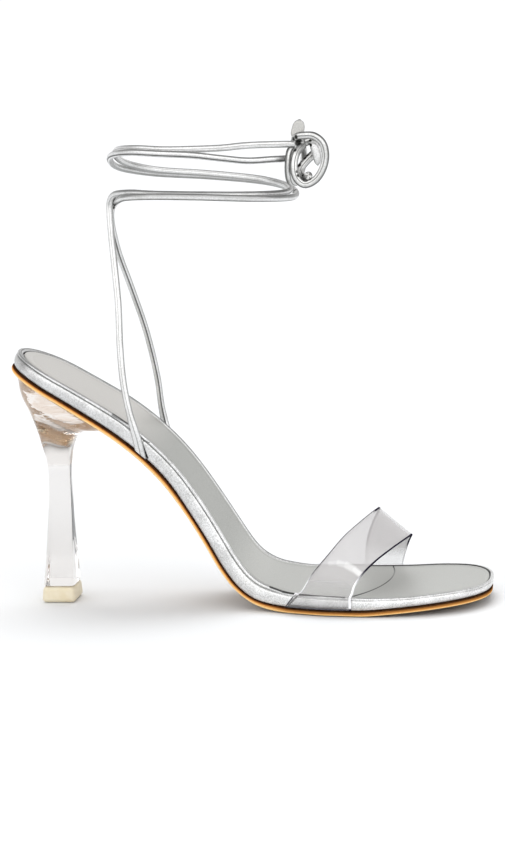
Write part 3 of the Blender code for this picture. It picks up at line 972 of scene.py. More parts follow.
@dataclass(frozen=True)
class ClearFilm(Finish):
    """Polished clear film of the toe band, with painted highlights."""

    name: str = "clear_film"
    tint: Colour = (0.53, 0.515, 0.515)
    painted_highlight: Colour = (0.98, 0.98, 0.98)
    refraction: float = 1.45
    # Cover of one face, of which the band has two, at its feet and over the toes; the lower cover at the
    # upright feet is painted light, making up for the less light that falls on them
    cover: Row = (0.17, 0.5)
    # Heights between which the cover rises
    cover_rise: Row = (9.0, 18.0)
    # Painted highlights: X and Z of both ends, half width, strength
    painted_highlights: tuple[Row, ...] = (
        (118.9, 21.5, 122.3, 21.6, 1.3, 0.25), (122.3, 21.6, 125.6, 20.8, 1.5, 0.4),
        (125.6, 20.8, 128.9, 19.2, 1.7, 0.5), (128.9, 19.2, 131.9, 17.2, 1.5, 0.6),
    )
    # Cover added under the painted highlights
    painted_highlight_cover: float = 0.25
    wave: float = 18.0
    depth: float = 0.1

    def lay(self, sheet: NodeSheet) -> None:
        """Lay the finish's nodes on an empty sheet.

        Args:
            sheet: The sheet.
        """
        wave = sheet.noise(self.wave, 1.0)
        low, high = self.cover
        rise = sheet.axis("Z").ramp(*metres(self.cover_rise))
        # Painted highlights: pale streaks on the film
        painted_highlight = sheet.most(sheet.mark(streak) for streak in self.painted_highlights)
        sheet.surface(
            Base_Color=sheet.blend(painted_highlight, self.tint, self.painted_highlight),
            Roughness=0.06 + wave * 0.02,
            IOR=self.refraction,
            Specular_IOR_Level=0.3,
            Alpha=low + rise * (high - low) + painted_highlight * self.painted_highlight_cover,
            Normal=sheet.bump(wave, self.depth),
        )


@dataclass(frozen=True)
class FilmEdge(Finish):
    """Cut edge of the clear film: painted dark over the toes, at its lower ends and low on its rear, else
    painted pale; painted shade and painted highlight for the light bent in the clear edge.
    """

    name: str = "film_edge"
    # Colours of the painted shade and painted highlight of the clear edge
    dark: Colour = (0.02, 0.017, 0.03)
    pale: Colour = (0.9, 0.9, 0.92)
    # Heights between which the edge turns: to dark over the toes, from dark at its ends and on its low rear
    top_rise: Row = (13.0, 19.0)
    foot_rise: Row = (3.4, 4.2)
    rear_rise: Row = (7.0, 9.0)
    # X values between which the rear ends
    rear_end: Row = (107.0, 112.0)

    def lay(self, sheet: NodeSheet) -> None:
        """Lay the finish's nodes on an empty sheet.

        Args:
            sheet: The sheet.
        """
        x, z = (sheet.axis(name) for name in "XZ")
        colour = sheet.blend(z.ramp(*metres(self.top_rise)), self.pale, self.dark)
        rear = (1 - z.ramp(*metres(self.rear_rise))) * (1 - x.ramp(*metres(self.rear_end)))
        low = sheet.math("MAXIMUM", rear, 1 - z.ramp(*metres(self.foot_rise)))
        colour = sheet.blend(low, colour, self.dark)
        sheet.surface(Base_Color=colour, Roughness=0.45, Specular_IOR_Level=0.0)


@dataclass(frozen=True)
class PaleFloor(Finish):
    """Matt pale floor."""

    name: str = "pale_floor"
    colour: Colour = (0.705, 0.715, 0.725)

    def lay(self, sheet: NodeSheet) -> None:
        """Lay the finish's nodes on an empty sheet."""
        sheet.surface(Base_Color=(*self.colour, 1.0), Roughness=0.9, Specular_IOR_Level=0.1)


# Painted shade along a rolled cord, at its upper and lower edges and in its two grooves: place round it, half
# width, strength
ROLLED_SHADE_LINES: tuple[Row, ...] = (
    (0.0, 0.13, 0.5), (0.25, 0.025, 0.5), (0.5, 0.13, 0.5), (0.75, 0.025, 0.5), (1.0, 0.13, 0.5),
)


# Sub-assemblies


@dataclass
class Footbed:
    """Leather outsole, silver footbed wall with its bead and recess, and the sock lining."""

    form: SoleForm
    outsole_thickness: float = 2.5
    seat_gap: float = 0.3
    # Edge of the outsole: inset from the plan outline, height
    outsole_edge: Sequence[Row] = ((0.9, 0.0), (0.25, 0.35), (0.0, 0.9), (0.0, 1.7), (0.5, 2.5))
    # Places in that edge where it starts and is pale, tan, brown and burnt: heel, arch and forefoot
    edge_stops: Sequence[Row] = (
        (0.1, 1.45, 2.4, 2.95, 3.25), (0.1, 1.7, 2.6, 3.3, 3.75), (0.75, 1.2, 1.9, 2.5, 3.45),
    )
    # Run, share by which the outsole's edge is pared thinner
    pared_rows: Sequence[Row] = (
        (0.0, 0.0), (78.0, 0.0), (102.0, 0.28), (140.0, 0.28), (160.0, 0.0), (250.0, 0.0),
    )
    # Footbed wall: inset from the plan outline, share of the wall height, further height
    wall_section: Sequence[Row] = (
        (0.5, 0.0, 0.0), (-0.05, 0.12, 0.0), (-0.45, 0.3, 0.0), (-0.62, 0.46, 0.0), (-0.58, 0.62, 0.0),
        (-0.4, 0.72, 0.0), (0.0, 0.78, 0.0), (-0.1, 0.81, 0.0), (-0.5, 0.85, 0.0), (-0.5, 0.91, 0.0),
        (-0.2, 0.97, 0.0), (0.4, 1.0, 0.0), (1.0, 0.99, 0.0), (1.6, 0.95, 0.0), (1.95, 0.95, -0.5),
        (2.1, 1.0, -1.6),
    )
    # Painted shade lines on the wall: place in its section, half width, strength, X values between which one
    # fades
    wall_shade_lines: Sequence[Row] = (
        (6.6, 0.9, 0.9, 88, 108), (11.7, 0.5, 0.8, 95, 112), (14.2, 0.9, 0.7), (13.2, 1.0, 0.95, 118, 104),
    )
    # Painted shade marks on the wall beside the outer cord, along the foot of the band and at the rim under
    # it
    wall_shade_marks: Sequence[Row] = (
        (39.8, 73.7, 42.8, 64.8, 0.7, 1.0), (29.2, 83.1, 35.0, 79.7, 0.9, 0.7),
        (40.5, 69.1, 41.6, 72.3, 0.4, 0.6), (41.6, 72.3, 43.9, 71.2, 0.4, 0.6),
        (101.4, 3.3, 125.5, 3.0, 0.9, 0.9), (101.1, 3.6, 105.1, 7.8, 0.5, 0.8),
        (93.3, 10.7, 98.9, 9.1, 0.5, 0.9), (98.9, 9.1, 106.1, 8.4, 0.6, 0.95),
        (106.1, 8.4, 115.3, 8.8, 0.65, 1.0), (115.3, 8.8, 125.0, 8.3, 0.6, 1.0),
    )
    wall_light: Colour = (1.0, 1.0, 1.0)
    wall_dark: Colour = (0.57, 0.57, 0.56)
    wall_speckle: float = 0.5
    # Painted shade at the heel: share of the tone lost there, and the X value by which it is back
    wall_heel_shade: Row = (0.28, 165.0)
    # Sock lining: inset, height from the rim
    lining_section: Sequence[Row] = (
        (2.6, -1.3), (2.58, -0.8), (2.66, -0.52), (2.95, -0.36), (3.6, -0.3), (5.2, -0.3), (5.7, -0.36),
        (6.1, -0.46), (6.5, -0.46), (7.0, -0.4), (8.0, -0.4),
    )
    section_steps: int = 4
    inner_shares: Sequence[float] = (0.06, 0.2, 0.4, 0.6, 0.8, 0.93, 1.0)

    def __post_init__(self) -> None:
        """Lay the curve of the pared edge."""
        self.pared = Track(self.pared_rows)

    def edge_height(self, height: float, run: float, across: float) -> float:
        """Height over the underside of a point of the outsole's edge, pared at its run."""
        return height * (1 - self.pared(run))

    def wall_height(self, share: float, more: float, run: float, across: float) -> float:
        """Height over the underside of a point of the wall.

        Args:
            share: Share of the wall height.
            more: Further height.
            run: Distance along the sole from its heel end.
            across: Place across the sole.

        Returns:
            The height.
        """
        pared = self.outsole_thickness * self.pared(run)
        base = self.outsole_thickness + self.seat_gap - pared
        return base + (self.form.wall_top(run, across) + pared) * share + more

    def close_plan(self, rings: list[Ring]) -> list[Ring]:
        """Rings with the plan closed to its middle line below the first and above the last."""
        under = self.form.inward(rings[0], self.inner_shares)
        return under[::-1] + rings + self.form.inward(rings[-1], self.inner_shares)

    def fine(self, rows: Sequence[Row]) -> Ring:
        """A section table as a smooth line of points."""
        return smooth_path([(*row, 0.0)[:3] for row in rows], self.section_steps)

    def build_outsole(self) -> bpy.types.Object:
        """Build and dress the outsole with its rounded edge.

        Returns:
            The outsole.
        """
        edge = self.fine(self.outsole_edge)
        rings = self.close_plan([self.form.ring(p.x, partial(self.edge_height, p.y)) for p in edge])
        piece = lay_grid("leather_outsole", rings, True)
        close_seams(piece)
        rows, first = len(rings) - 1, len(self.inner_shares)
        stops = tuple(
            tuple((first + step * self.section_steps) / rows for step in line) for line in self.edge_stops
        )
        return add_piece(piece, SoleLeather(stops=stops).material(), "sole_edge", ["outsole"])

    def build_wall(self) -> bpy.types.Object:
        """Build and dress the silver wall with its bead, rim and recess.

        Returns:
            The wall.
        """
        section = self.fine(self.wall_section)
        rings = self.close_plan([self.form.ring(p.x, partial(self.wall_height, p.y, p.z)) for p in section])
        piece = lay_grid("silver_footbed", rings, True)
        close_seams(piece)
        rows, first = len(rings) - 1, len(self.inner_shares)
        shade_lines = tuple(
            ((first + place * self.section_steps) / rows, half * self.section_steps / rows, strength, *fade)
            for place, half, strength, *fade in self.wall_shade_lines
        )
        # Painted shade: dark lines, marks and a darker heel on the wall
        leather = SilverLeather(
            name="silver_wall", light=self.wall_light, dark=self.wall_dark, speckle=self.wall_speckle,
            shade_lines=shade_lines, shade_marks=tuple(self.wall_shade_marks), heel_shade=self.wall_heel_shade,
        )
        return add_piece(piece, leather.material(), "silver_leather", ["midsole"])

    def build_lining(self) -> bpy.types.Object:
        """Build and dress the sock lining with the painted shadow of the band's front edge.

        Returns:
            The lining.
        """
        section = self.fine(self.lining_section)
        rings = [self.form.ring(p.x, partial(self.wall_height, 1.0, p.y)) for p in section]
        piece = lay_grid("sock_lining_pad", self.close_plan(rings), True)
        close_seams(piece)
        return add_piece(piece, SockLining().material(), "sock_lining", ["insole"])

    def build(self) -> None:
        """Build and dress the three layers."""
        self.build_outsole()
        self.build_wall()
        self.build_lining()


@dataclass
class Heel:
    """Clear sculpted heel and its ivory top piece."""

    form: SoleForm
    sides: int = 96
    steps: int = 10
    # From the tip up: back x and z, front x and z, half width, squareness
    ring_rows: Sequence[Row] = (
        (-6.7, 7.3, 6.7, 7.3, 9.0, 9.0), (-6.0, 14.0, 6.6, 14.0, 7.9, 8.0),
        (-5.4, 24.0, 6.3, 24.0, 6.1, 7.0), (-4.8, 34.0, 6.0, 34.0, 4.8, 6.0),
        (-4.0, 44.0, 5.8, 44.0, 4.1, 6.0), (-3.8, 53.0, 5.7, 53.0, 4.2, 5.0),
        (-4.3, 60.5, 5.9, 60.0, 5.0, 4.5), (-5.9, 67.5, 6.7, 66.0, 7.6, 3.8),
        (-7.7, 75.0, 9.0, 71.0, 12.0, 3.2), (-10.6, 83.0, 14.0, 73.6, 16.8, 2.6),
        (-14.0, 90.5, 19.6, 73.4, 20.6, 2.3),
    )
    seat_run: float = 27.6
    seat_half_length: float = 24.4
    seat_half_width: float = 22.9
    seat_squareness: float = 2.2
    seat_gap: float = 0.3
    # Shares to the middle by which the seat and the foot are closed
    seat_shares: Sequence[float] = (0.04, 0.2, 0.4, 0.6, 0.8, 1.0)
    foot_shares: Sequence[float] = (1.0, 0.5, 0.06)
    # Angle from which the block's edges stay sharp
    sharp: float = 50.0
    tip_height: float = 7.0
    tip_foot: Row = (14.7, 19.0)
    tip_top: Row = (13.5, 18.1)
    # Radius and segments of the tip's upright corners, and of its edges, with the angle of such an edge
    tip_corner: float = 1.8
    corner_segments: int = 6
    tip_edge: float = 0.35
    edge_segments: int = 3
    edge_angle: float = 50.0
    # Angle up to which the tip is shaded smooth
    tip_smooth: float = 40.0
    screw_top: Row = (-7.6, -2.0, 86.0)
    screw_foot: Row = (-2.6, -2.0, 75.4)
    screw_radius: float = 1.5
    thread_depth: float = 0.45
    thread_pitch: float = 1.5
    screw_steps: int = 96
    screw_sides: int = 20
    # Share of the radius at the screw's point, and the steps by which a whole radius is gained
    screw_point: float = 0.35
    screw_taper: int = 24

    def table_ring(self, row: Row) -> Ring:
        """Ring of one row of the heel's table.

        Args:
            row: The row.

        Returns:
            The ring.
        """
        back_x, back_z, front_x, front_z, half_width, squareness = row
        middle = Vector(((back_x + front_x) / 2, 0.0, (back_z + front_z) / 2))
        along = Vector(((front_x - back_x) / 2, 0.0, (front_z - back_z) / 2))
        across = Vector((0.0, half_width, 0.0))
        return [middle + along * u + across * v for u, v in squared_circle(squareness, self.sides)]

    def seat_ring(self) -> Ring:
        """Ring of the seat under the outsole.

        Returns:
            The ring.
        """
        length, width = self.seat_half_length, self.seat_half_width
        plan = squared_circle(self.seat_squareness, self.sides)
        return [self.form.place(self.seat_run + length * u, width * v, -self.seat_gap) for u, v in plan]

    def build_block(self) -> bpy.types.Object:
        """Build and dress the clear block, with the face that is glued to the sole in its own finish.

        Returns:
            The block.
        """
        table = [self.table_ring(row) for row in self.ring_rows] + [self.seat_ring()]
        columns = [smooth_path(column, self.steps) for column in zip(*table)]
        rings = [list(ring) for ring in zip(*columns)]
        seat = [
            [p.lerp((p + rings[-1][-i - 1]) / 2, share) for i, p in enumerate(rings[-1])]
            for share in self.seat_shares
        ]
        foot = [shrink(rings[0], share, Vector()) for share in self.foot_shares]
        piece = lay_grid("clear_heel", foot + rings + seat, True)
        seat_row = len(foot) + len(rings) - 1
        rows = len(foot) + len(rings) + len(seat) - 1
        piece.data.materials.append(ClearAcrylic().material())
        piece.data.materials.append(GluedSeat().material())
        heights = piece.data.uv_layers.active.data
        for face in piece.data.polygons:
            if min(heights[loop].uv.y for loop in face.loop_indices) * rows > seat_row - 0.5:
                face.material_index = 1
        close_seams(piece, self.sharp)
        return add_piece(piece, piece.data.materials[0], "clear_acrylic", ["heel"])

    def build_tip(self) -> bpy.types.Object:
        """Build and dress the ivory top piece: a block, narrowed to its top, with rounded corners and edges.

        Returns:
            The top piece.
        """
        bpy.ops.object.select_all(action="DESELECT")
        bpy.ops.mesh.primitive_cube_add(size=1.0, location=(0.0, 0.0, 0.0))
        piece = bpy.context.active_object
        piece.name = "ivory_top_piece"
        for vertex in piece.data.vertices:
            length, width = self.tip_top if vertex.co.z > 0 else self.tip_foot
            level = self.tip_height if vertex.co.z > 0 else 0.0
            vertex.co = Vector((vertex.co.x * length, vertex.co.y * width, level)) * MM
        bpy.ops.object.mode_set(mode="EDIT")
        bpy.ops.mesh.select_all(action="DESELECT")
        bpy.ops.object.mode_set(mode="OBJECT")
        for edge in piece.data.edges:
            low, high = (piece.data.vertices[i].co.z for i in edge.vertices)
            edge.select = abs(low - high) > self.tip_height * MM / 2
        bpy.ops.object.mode_set(mode="EDIT")
        bpy.ops.mesh.bevel(offset=self.tip_corner * MM, segments=self.corner_segments, affect="EDGES")
        bpy.ops.object.mode_set(mode="OBJECT")
        apply_modifier(
            piece, "BEVEL", width=self.tip_edge * MM, segments=self.edge_segments, limit_method="ANGLE",
            angle_limit=math.radians(self.edge_angle),
        )
        bpy.ops.object.shade_smooth_by_angle(angle=math.radians(self.tip_smooth))
        return add_piece(piece, IvoryTip().material(), "ivory_tip", ["heel_tip"])

    def build_screw(self) -> bpy.types.Object:
        """Build and dress the threaded screw that shows inside the clear block.

        Returns:
            The screw.
        """
        top, foot = Vector(self.screw_top), Vector(self.screw_foot)
        down = (foot - top).normalized()
        across = down.orthogonal().normalized()
        over = down.cross(across)
        steps, sides = self.screw_steps, self.screw_sides
        rings: list[Ring] = [[top] * sides]
        for i in range(steps + 1):
            run = (foot - top).length * i / steps
            taper = min(1.0, self.screw_point + (steps - i) / self.screw_taper)
            ring: Ring = []
            for k in range(sides):
                angle = 2 * math.pi * k / sides
                wind = math.cos(2 * math.pi * run / self.thread_pitch - angle)
                radius = (self.screw_radius + self.thread_depth * wind) * taper
                ring.append(top + down * run + (across * math.cos(angle) + over * math.sin(angle)) * radius)
            rings.append(ring)
        piece = lay_grid("heel_screw", rings + [[foot] * sides], True)
        close_seams(piece)
        return add_piece(piece, ScrewSteel().material(), "clear_acrylic")

    def build(self) -> None:
        """Build and dress the heel, its screw and its top piece."""
        self.build_block()
        self.build_screw()
        self.build_tip()


@dataclass
class ToeBand:
    """Clear band over the toes, lasted down outside the footbed wall on both sides."""

    form: SoleForm
    thickness: float = 1.0
    columns: int = 20
    steps: int = 10
    # Angle from which its edges stay sharp
    sharp: float = 50.0
    # Shares of the width that the cut edges take: rear, further rear on the inner side, front
    edge_shares: Row = (0.014, 0.03, 0.032)
    outer_runs: Row = (161.0, 188.0)
    inner_runs: Row = (186.5, 204.5)
    base: float = 2.8
    # Foot of the band: share of the wall height, distance out from the plan outline
    foot_rows: Sequence[Row] = ((0.06, 0.8), (0.3, 1.3), (0.6, 1.45), (1.0, 1.55))
    # Run by which the rear edge of a foot slants forward up the wall
    foot_slant: float = 5.0
    # Cross lines over the foot: rear x, y, z and front x, y, z
    cross_lines: Sequence[Row] = (
        (105.9, -32.3, 8.9, 128.4, -38.0, 9.6), (111.3, -33.0, 16.9, 129.8, -37.4, 13.6),
        (117.9, -29.5, 24.6, 133.0, -33.0, 17.6), (123.7, -22.5, 30.8, 137.5, -24.0, 20.9),
        (130.8, -10.0, 35.8, 143.5, -10.0, 23.6), (135.8, 4.0, 38.0, 148.5, 4.0, 25.1),
        (135.5, 16.0, 35.5, 149.8, 17.0, 24.0), (132.0, 27.0, 28.0, 147.8, 28.5, 18.8),
        (128.8, 35.4, 18.5, 145.8, 36.2, 12.8),
    )

    def foot(self, run: float, outer: bool, slant: float) -> Ring:
        """Points of one foot at a run: from the outsole up the wall to its rim.

        Args:
            run: Run at the outsole.
            outer: Whether it is the foot on the outer side.
            slant: Run by which the foot slants forward up the wall.

        Returns:
            The points.
        """
        outward = -1.0 if outer else 1.0
        points: Ring = []
        for share, out in self.foot_rows:
            at = run + slant * share
            height = self.base + self.form.wall_top(at, outward) * share
            points.append(self.form.place(at, self.form.edge(at, outer) + outward * out, height))
        return points

    def column(self, share: float) -> Ring:
        """Path across the foot.

        Args:
            share: Share of the band's width from its rear edge.

        Returns:
            The path, from the outer foot to the inner one.
        """
        outer = self.outer_runs[0] + (self.outer_runs[1] - self.outer_runs[0]) * share
        inner = self.inner_runs[0] + (self.inner_runs[1] - self.inner_runs[0]) * share
        arch = [Vector(line[:3]).lerp(Vector(line[3:]), share) for line in self.cross_lines]
        slant = self.foot_slant * (1 - share)
        ends = self.foot(outer, True, slant), self.foot(inner, False, 0.0)[::-1]
        return smooth_path(ends[0] + arch + ends[1], self.steps)

    def build(self) -> bpy.types.Object:
        """Build and dress the band.

        Returns:
            The band.
        """
        rear, far, front = self.edge_shares
        start = rear + far
        middle = [start + (1 - start - front) * j / self.columns for j in range(self.columns + 1)]
        shares = [0.0, rear, *middle, 1.0]
        piece = lay_grid("clear_toe_band", [self.column(share) for share in shares], False)
        piece.data.materials.append(ClearFilm().material())
        piece.data.materials.append(FilmEdge().material())
        rows = piece.data.uv_layers.active.data
        for face in piece.data.polygons:
            places = [rows[loop].uv.y for loop in face.loop_indices]
            row = sum(places) / len(places) * (len(shares) - 1)
            face.material_index = int(row < (2 if face.center.y > 0 else 1) or row > len(shares) - 2)
        close_seams(piece)
        apply_modifier(
            piece, "SOLIDIFY", thickness=self.thickness * MM, offset=0.0, use_even_offset=True, use_rim=True,
            material_offset_rim=1,
        )
        bpy.ops.object.shade_smooth_by_angle(angle=math.radians(self.sharp))
        return add_piece(piece, piece.data.materials[0], "clear_film", ["vamp_strap"])


@dataclass
class Cord:
    """A rolled leather cord along a path, with a shallow groove on two sides."""

    name: str
    path: Ring
    flat_side: Vector
    width: Track
    thickness: Track
    sides: int = 28
    groove: float = 0.1
    groove_turn: float = 0.32
    # Normal of the plane on which the cord's foot is cut, and the run over which the rings turn from it
    foot_normal: Vector | None = None
    foot_run: float = 7.0
    # Rows that close an end: share to the middle, distance beyond the end
    end_rows: Sequence[Row] = ((0.15, 0.15), (0.6, 0.3), (1.0, 0.35))

    def section(self, run: float) -> list[tuple[float, float]]:
        """Offsets of the cord's surface from its path.

        Args:
            run: Distance along the path.

        Returns:
            Offsets across the cord and out of its flat side.
        """
        half_wide, half_thick = self.width(run) / 2, self.thickness(run) / 2
        offsets = []
        for k in range(self.sides):
            angle = 2 * math.pi * k / self.sides
            dip = 1 - self.groove * math.exp(-((math.cos(angle) / self.groove_turn) ** 2))
            offsets.append((half_wide * math.cos(angle), half_thick * math.sin(angle) * dip))
        return offsets

    def rings(self) -> list[Ring]:
        """Rings along the path, rounded to a point at both ends.

        Returns:
            The rings.
        """
        rings: list[Ring] = []
        run, side = 0.0, self.flat_side.copy()
        for i, point in enumerate(self.path):
            before, after = self.path[max(i - 1, 0)], self.path[min(i + 1, len(self.path) - 1)]
            along = (after - before).normalized()
            side = (side - along * side.dot(along)).normalized()
            across = along.cross(side)
            run += (point - before).length
            plane = along
            if self.foot_normal is not None:
                plane = self.foot_normal.lerp(along, min(run / self.foot_run, 1.0))
            offsets = [across * u + side * v for u, v in self.section(run)]
            lean = along.dot(plane)
            rings.append([point + offset - along * (offset.dot(plane) / lean) for offset in offsets])
        first = (self.path[1] - self.path[0]).normalized()
        last = (self.path[-1] - self.path[-2]).normalized()
        start = [shrink(rings[0], share, -first * lift) for share, lift in reversed(self.end_rows)]
        end = [shrink(rings[-1], share, last * lift) for share, lift in self.end_rows]
        return start + rings + end

    def build(self) -> bpy.types.Object:
        """Build the cord's mesh.

        Returns:
            The cord, not yet dressed.
        """
        piece = lay_grid(self.name, self.rings(), True)
        close_seams(piece)
        return piece


class Side(Enum):
    """Side of the foot that a cord starts from: the sign of its place in the pair, against that of its Y."""

    OUTER = 1
    INNER = -1


@dataclass(frozen=True)
class Tie:
    """One cord of the pair: its names, its start on the footbed, its rise, its end and its painted shade."""

    side: Side
    name: str
    node: str
    finish: str
    tab_run: float
    rise: tuple[Row, ...]
    end: tuple[Row, ...]
    # Painted shade spots where it meets other cords: middle, radius, strength
    shade_spots: tuple[Row, ...]
    # Painted shade lines further to those of every rolled cord
    shade_lines: tuple[Row, ...] = ()

    def leather(self) -> bpy.types.Material:
        """The cord's finish."""
        # Painted shade: dark lines and spots
        shade_lines = ROLLED_SHADE_LINES + self.shade_lines
        return SilverLeather(name=self.finish, axis=UvAxis.ROUND, shade_lines=shade_lines, shade_spots=self.shade_spots).material()


OUTER_TIE = Tie(
    Side.OUTER, "outer_tie", "tie_outer", "rolled_silver",
    tab_run=67.4,
    rise=(
        (36.2, -25.4, 84.0), (33.8, -23.9, 96.3), (32.4, -21.3, 112.0), (31.6, -17.4, 128.0),
        (29.7, -12.6, 144.0), (28.0, -8.2, 157.0), (27.2, -5.6, 165.0), (27.2, -5.0, 169.8),
        (29.2, -7.2, 173.0),
    ),
    end=((98.0, -18.5, 193.1), (104.0, -16.0, 193.0), (107.5, -14.5, 192.7)),
    shade_spots=((106.3, -16.4, 195.1, 1.2, 1.0), (108.1, -16.2, 193.4, 1.9, 1.0), (102.6, -4.0, 174.3, 0.9, 0.9)),
)
INNER_TIE = Tie(
    Side.INNER, "inner_tie", "tie_inner", "far_silver",
    tab_run=72.8,
    rise=(
        (41.4, 25.2, 80.4), (40.4, 23.9, 92.0), (37.0, 18.8, 113.0), (32.0, 12.6, 133.0),
        (28.2, 8.0, 147.0), (27.3, 4.5, 153.4), (26.7, 1.3, 159.8), (26.8, -0.8, 165.0),
        (27.5, -1.4, 167.9), (29.1, -3.0, 169.6), (33.1, -13.5, 171.6),
    ),
    end=((97.7, -17.0, 187.0), (104.0, -11.5, 187.0)),
    shade_spots=((28.7, -4.5, 169.1, 1.1, 1.0), (28.5, -2.6, 167.5, 0.9, 0.9), (104.3, 3.4, 173.3, 1.1, 1.0)),
    shade_lines=((0.71, 0.035, 0.95),),
)


@dataclass
class AnkleTies:
    """The two cords that rise from the footbed, cross behind the ankle and run round it as a pair."""

    form: SoleForm
    ties: tuple[Tie, ...] = (OUTER_TIE, INNER_TIE)
    cord: float = 2.8
    tab_width: float = 4.0
    tab_thickness: float = 1.3
    tab_length: float = 22.0
    base: float = 2.8
    step: float = 1.1
    ankle_x: float = 66.0
    ankle_half_length: float = 37.6
    ankle_half_width: float = 26.0
    # Tab up the wall: run from the tab's foot, share of the wall height, distance out from the plan outline
    tab_rows: Sequence[Row] = ((0.0, 0.0, 0.85), (-2.4, 0.3, 1.5), (-5.0, 0.62, 1.75), (-8.3, 1.0, 1.9))
    # Turn from the toe side, height, half split upwards, half split outwards
    turn_rows: Sequence[Row] = (
        (218, 173.4, 1.0, -1.5), (238, 173.6, 0.5, -1.55), (270, 173.2, 0.4, -1.6), (310, 172.1, 0.75, -1.5),
        (342, 171.8, 1.0, -1.4), (360, 172.4, 1.1, -1.3), (378, 174.0, 0.9, -1.4), (410, 176.6, 0.7, -1.5),
        (450, 179.2, 0.7, -1.4), (490, 181.6, 0.8, -1.4), (520, 184.9, 1.1, -1.3), (540, 188.0, 1.3, -1.1),
        (560, 190.8, 1.1, -1.3), (585, 191.9, 0.8, -1.4), (610, 191.3, 0.8, -1.4), (630, 190.9, 1.2, -1.2),
        (648, 190.2, 2.1, -0.9), (665, 189.9, 3.1, -0.4),
    )

    def ankle_route(self, side: Side) -> list[Row]:
        """Route of one cord of the pair round the ankle.

        Args:
            side: Side of the foot that the cord starts from.

        Returns:
            Points of the route.
        """
        route = []
        for turn, height, split_up, split_out in self.turn_rows:
            angle, out = math.radians(turn), side.value * split_out
            x = self.ankle_x + (self.ankle_half_length + out) * math.cos(angle)
            y = (self.ankle_half_width + out) * math.sin(angle)
            route.append((x, y, height + side.value * split_up))
        return route

    def route(self, tie: Tie) -> list[Sequence[float]]:
        """Whole route of one cord, from its tab on the footbed to the knot.

        Args:
            tie: The cord.

        Returns:
            Points of the route.
        """
        tab: list[Sequence[float]] = []
        for offset, share, out in self.tab_rows:
            run = tie.tab_run + offset
            across = self.form.edge(run, tie.side is Side.OUTER) - tie.side.value * out
            tab.append(self.form.place(run, across, self.base + self.form.wall(run) * share))
        return [*tab, *tie.rise, *self.ankle_route(tie.side), *tie.end]

    def build(self) -> list[tuple[bpy.types.Object, Ring]]:
        """Build and dress both cords.

        Returns:
            Each cord with its path.
        """
        width = Track([(0, self.tab_width), (self.tab_length, self.cord)])
        thickness = Track([(0, self.tab_thickness), (self.tab_length, self.cord)])
        cords = []
        for tie in self.ties:
            path = even_path(smooth_path(self.route(tie)), self.step)
            outward = Vector((0.0, -tie.side.value, 0.0))
            foot = self.form.normal(tie.tab_run)
            piece = Cord(tie.name, path, outward, width, thickness, foot_normal=foot).build()
            cords.append((add_piece(piece, tie.leather(), "silver_leather", [tie.node]), path))
        return cords


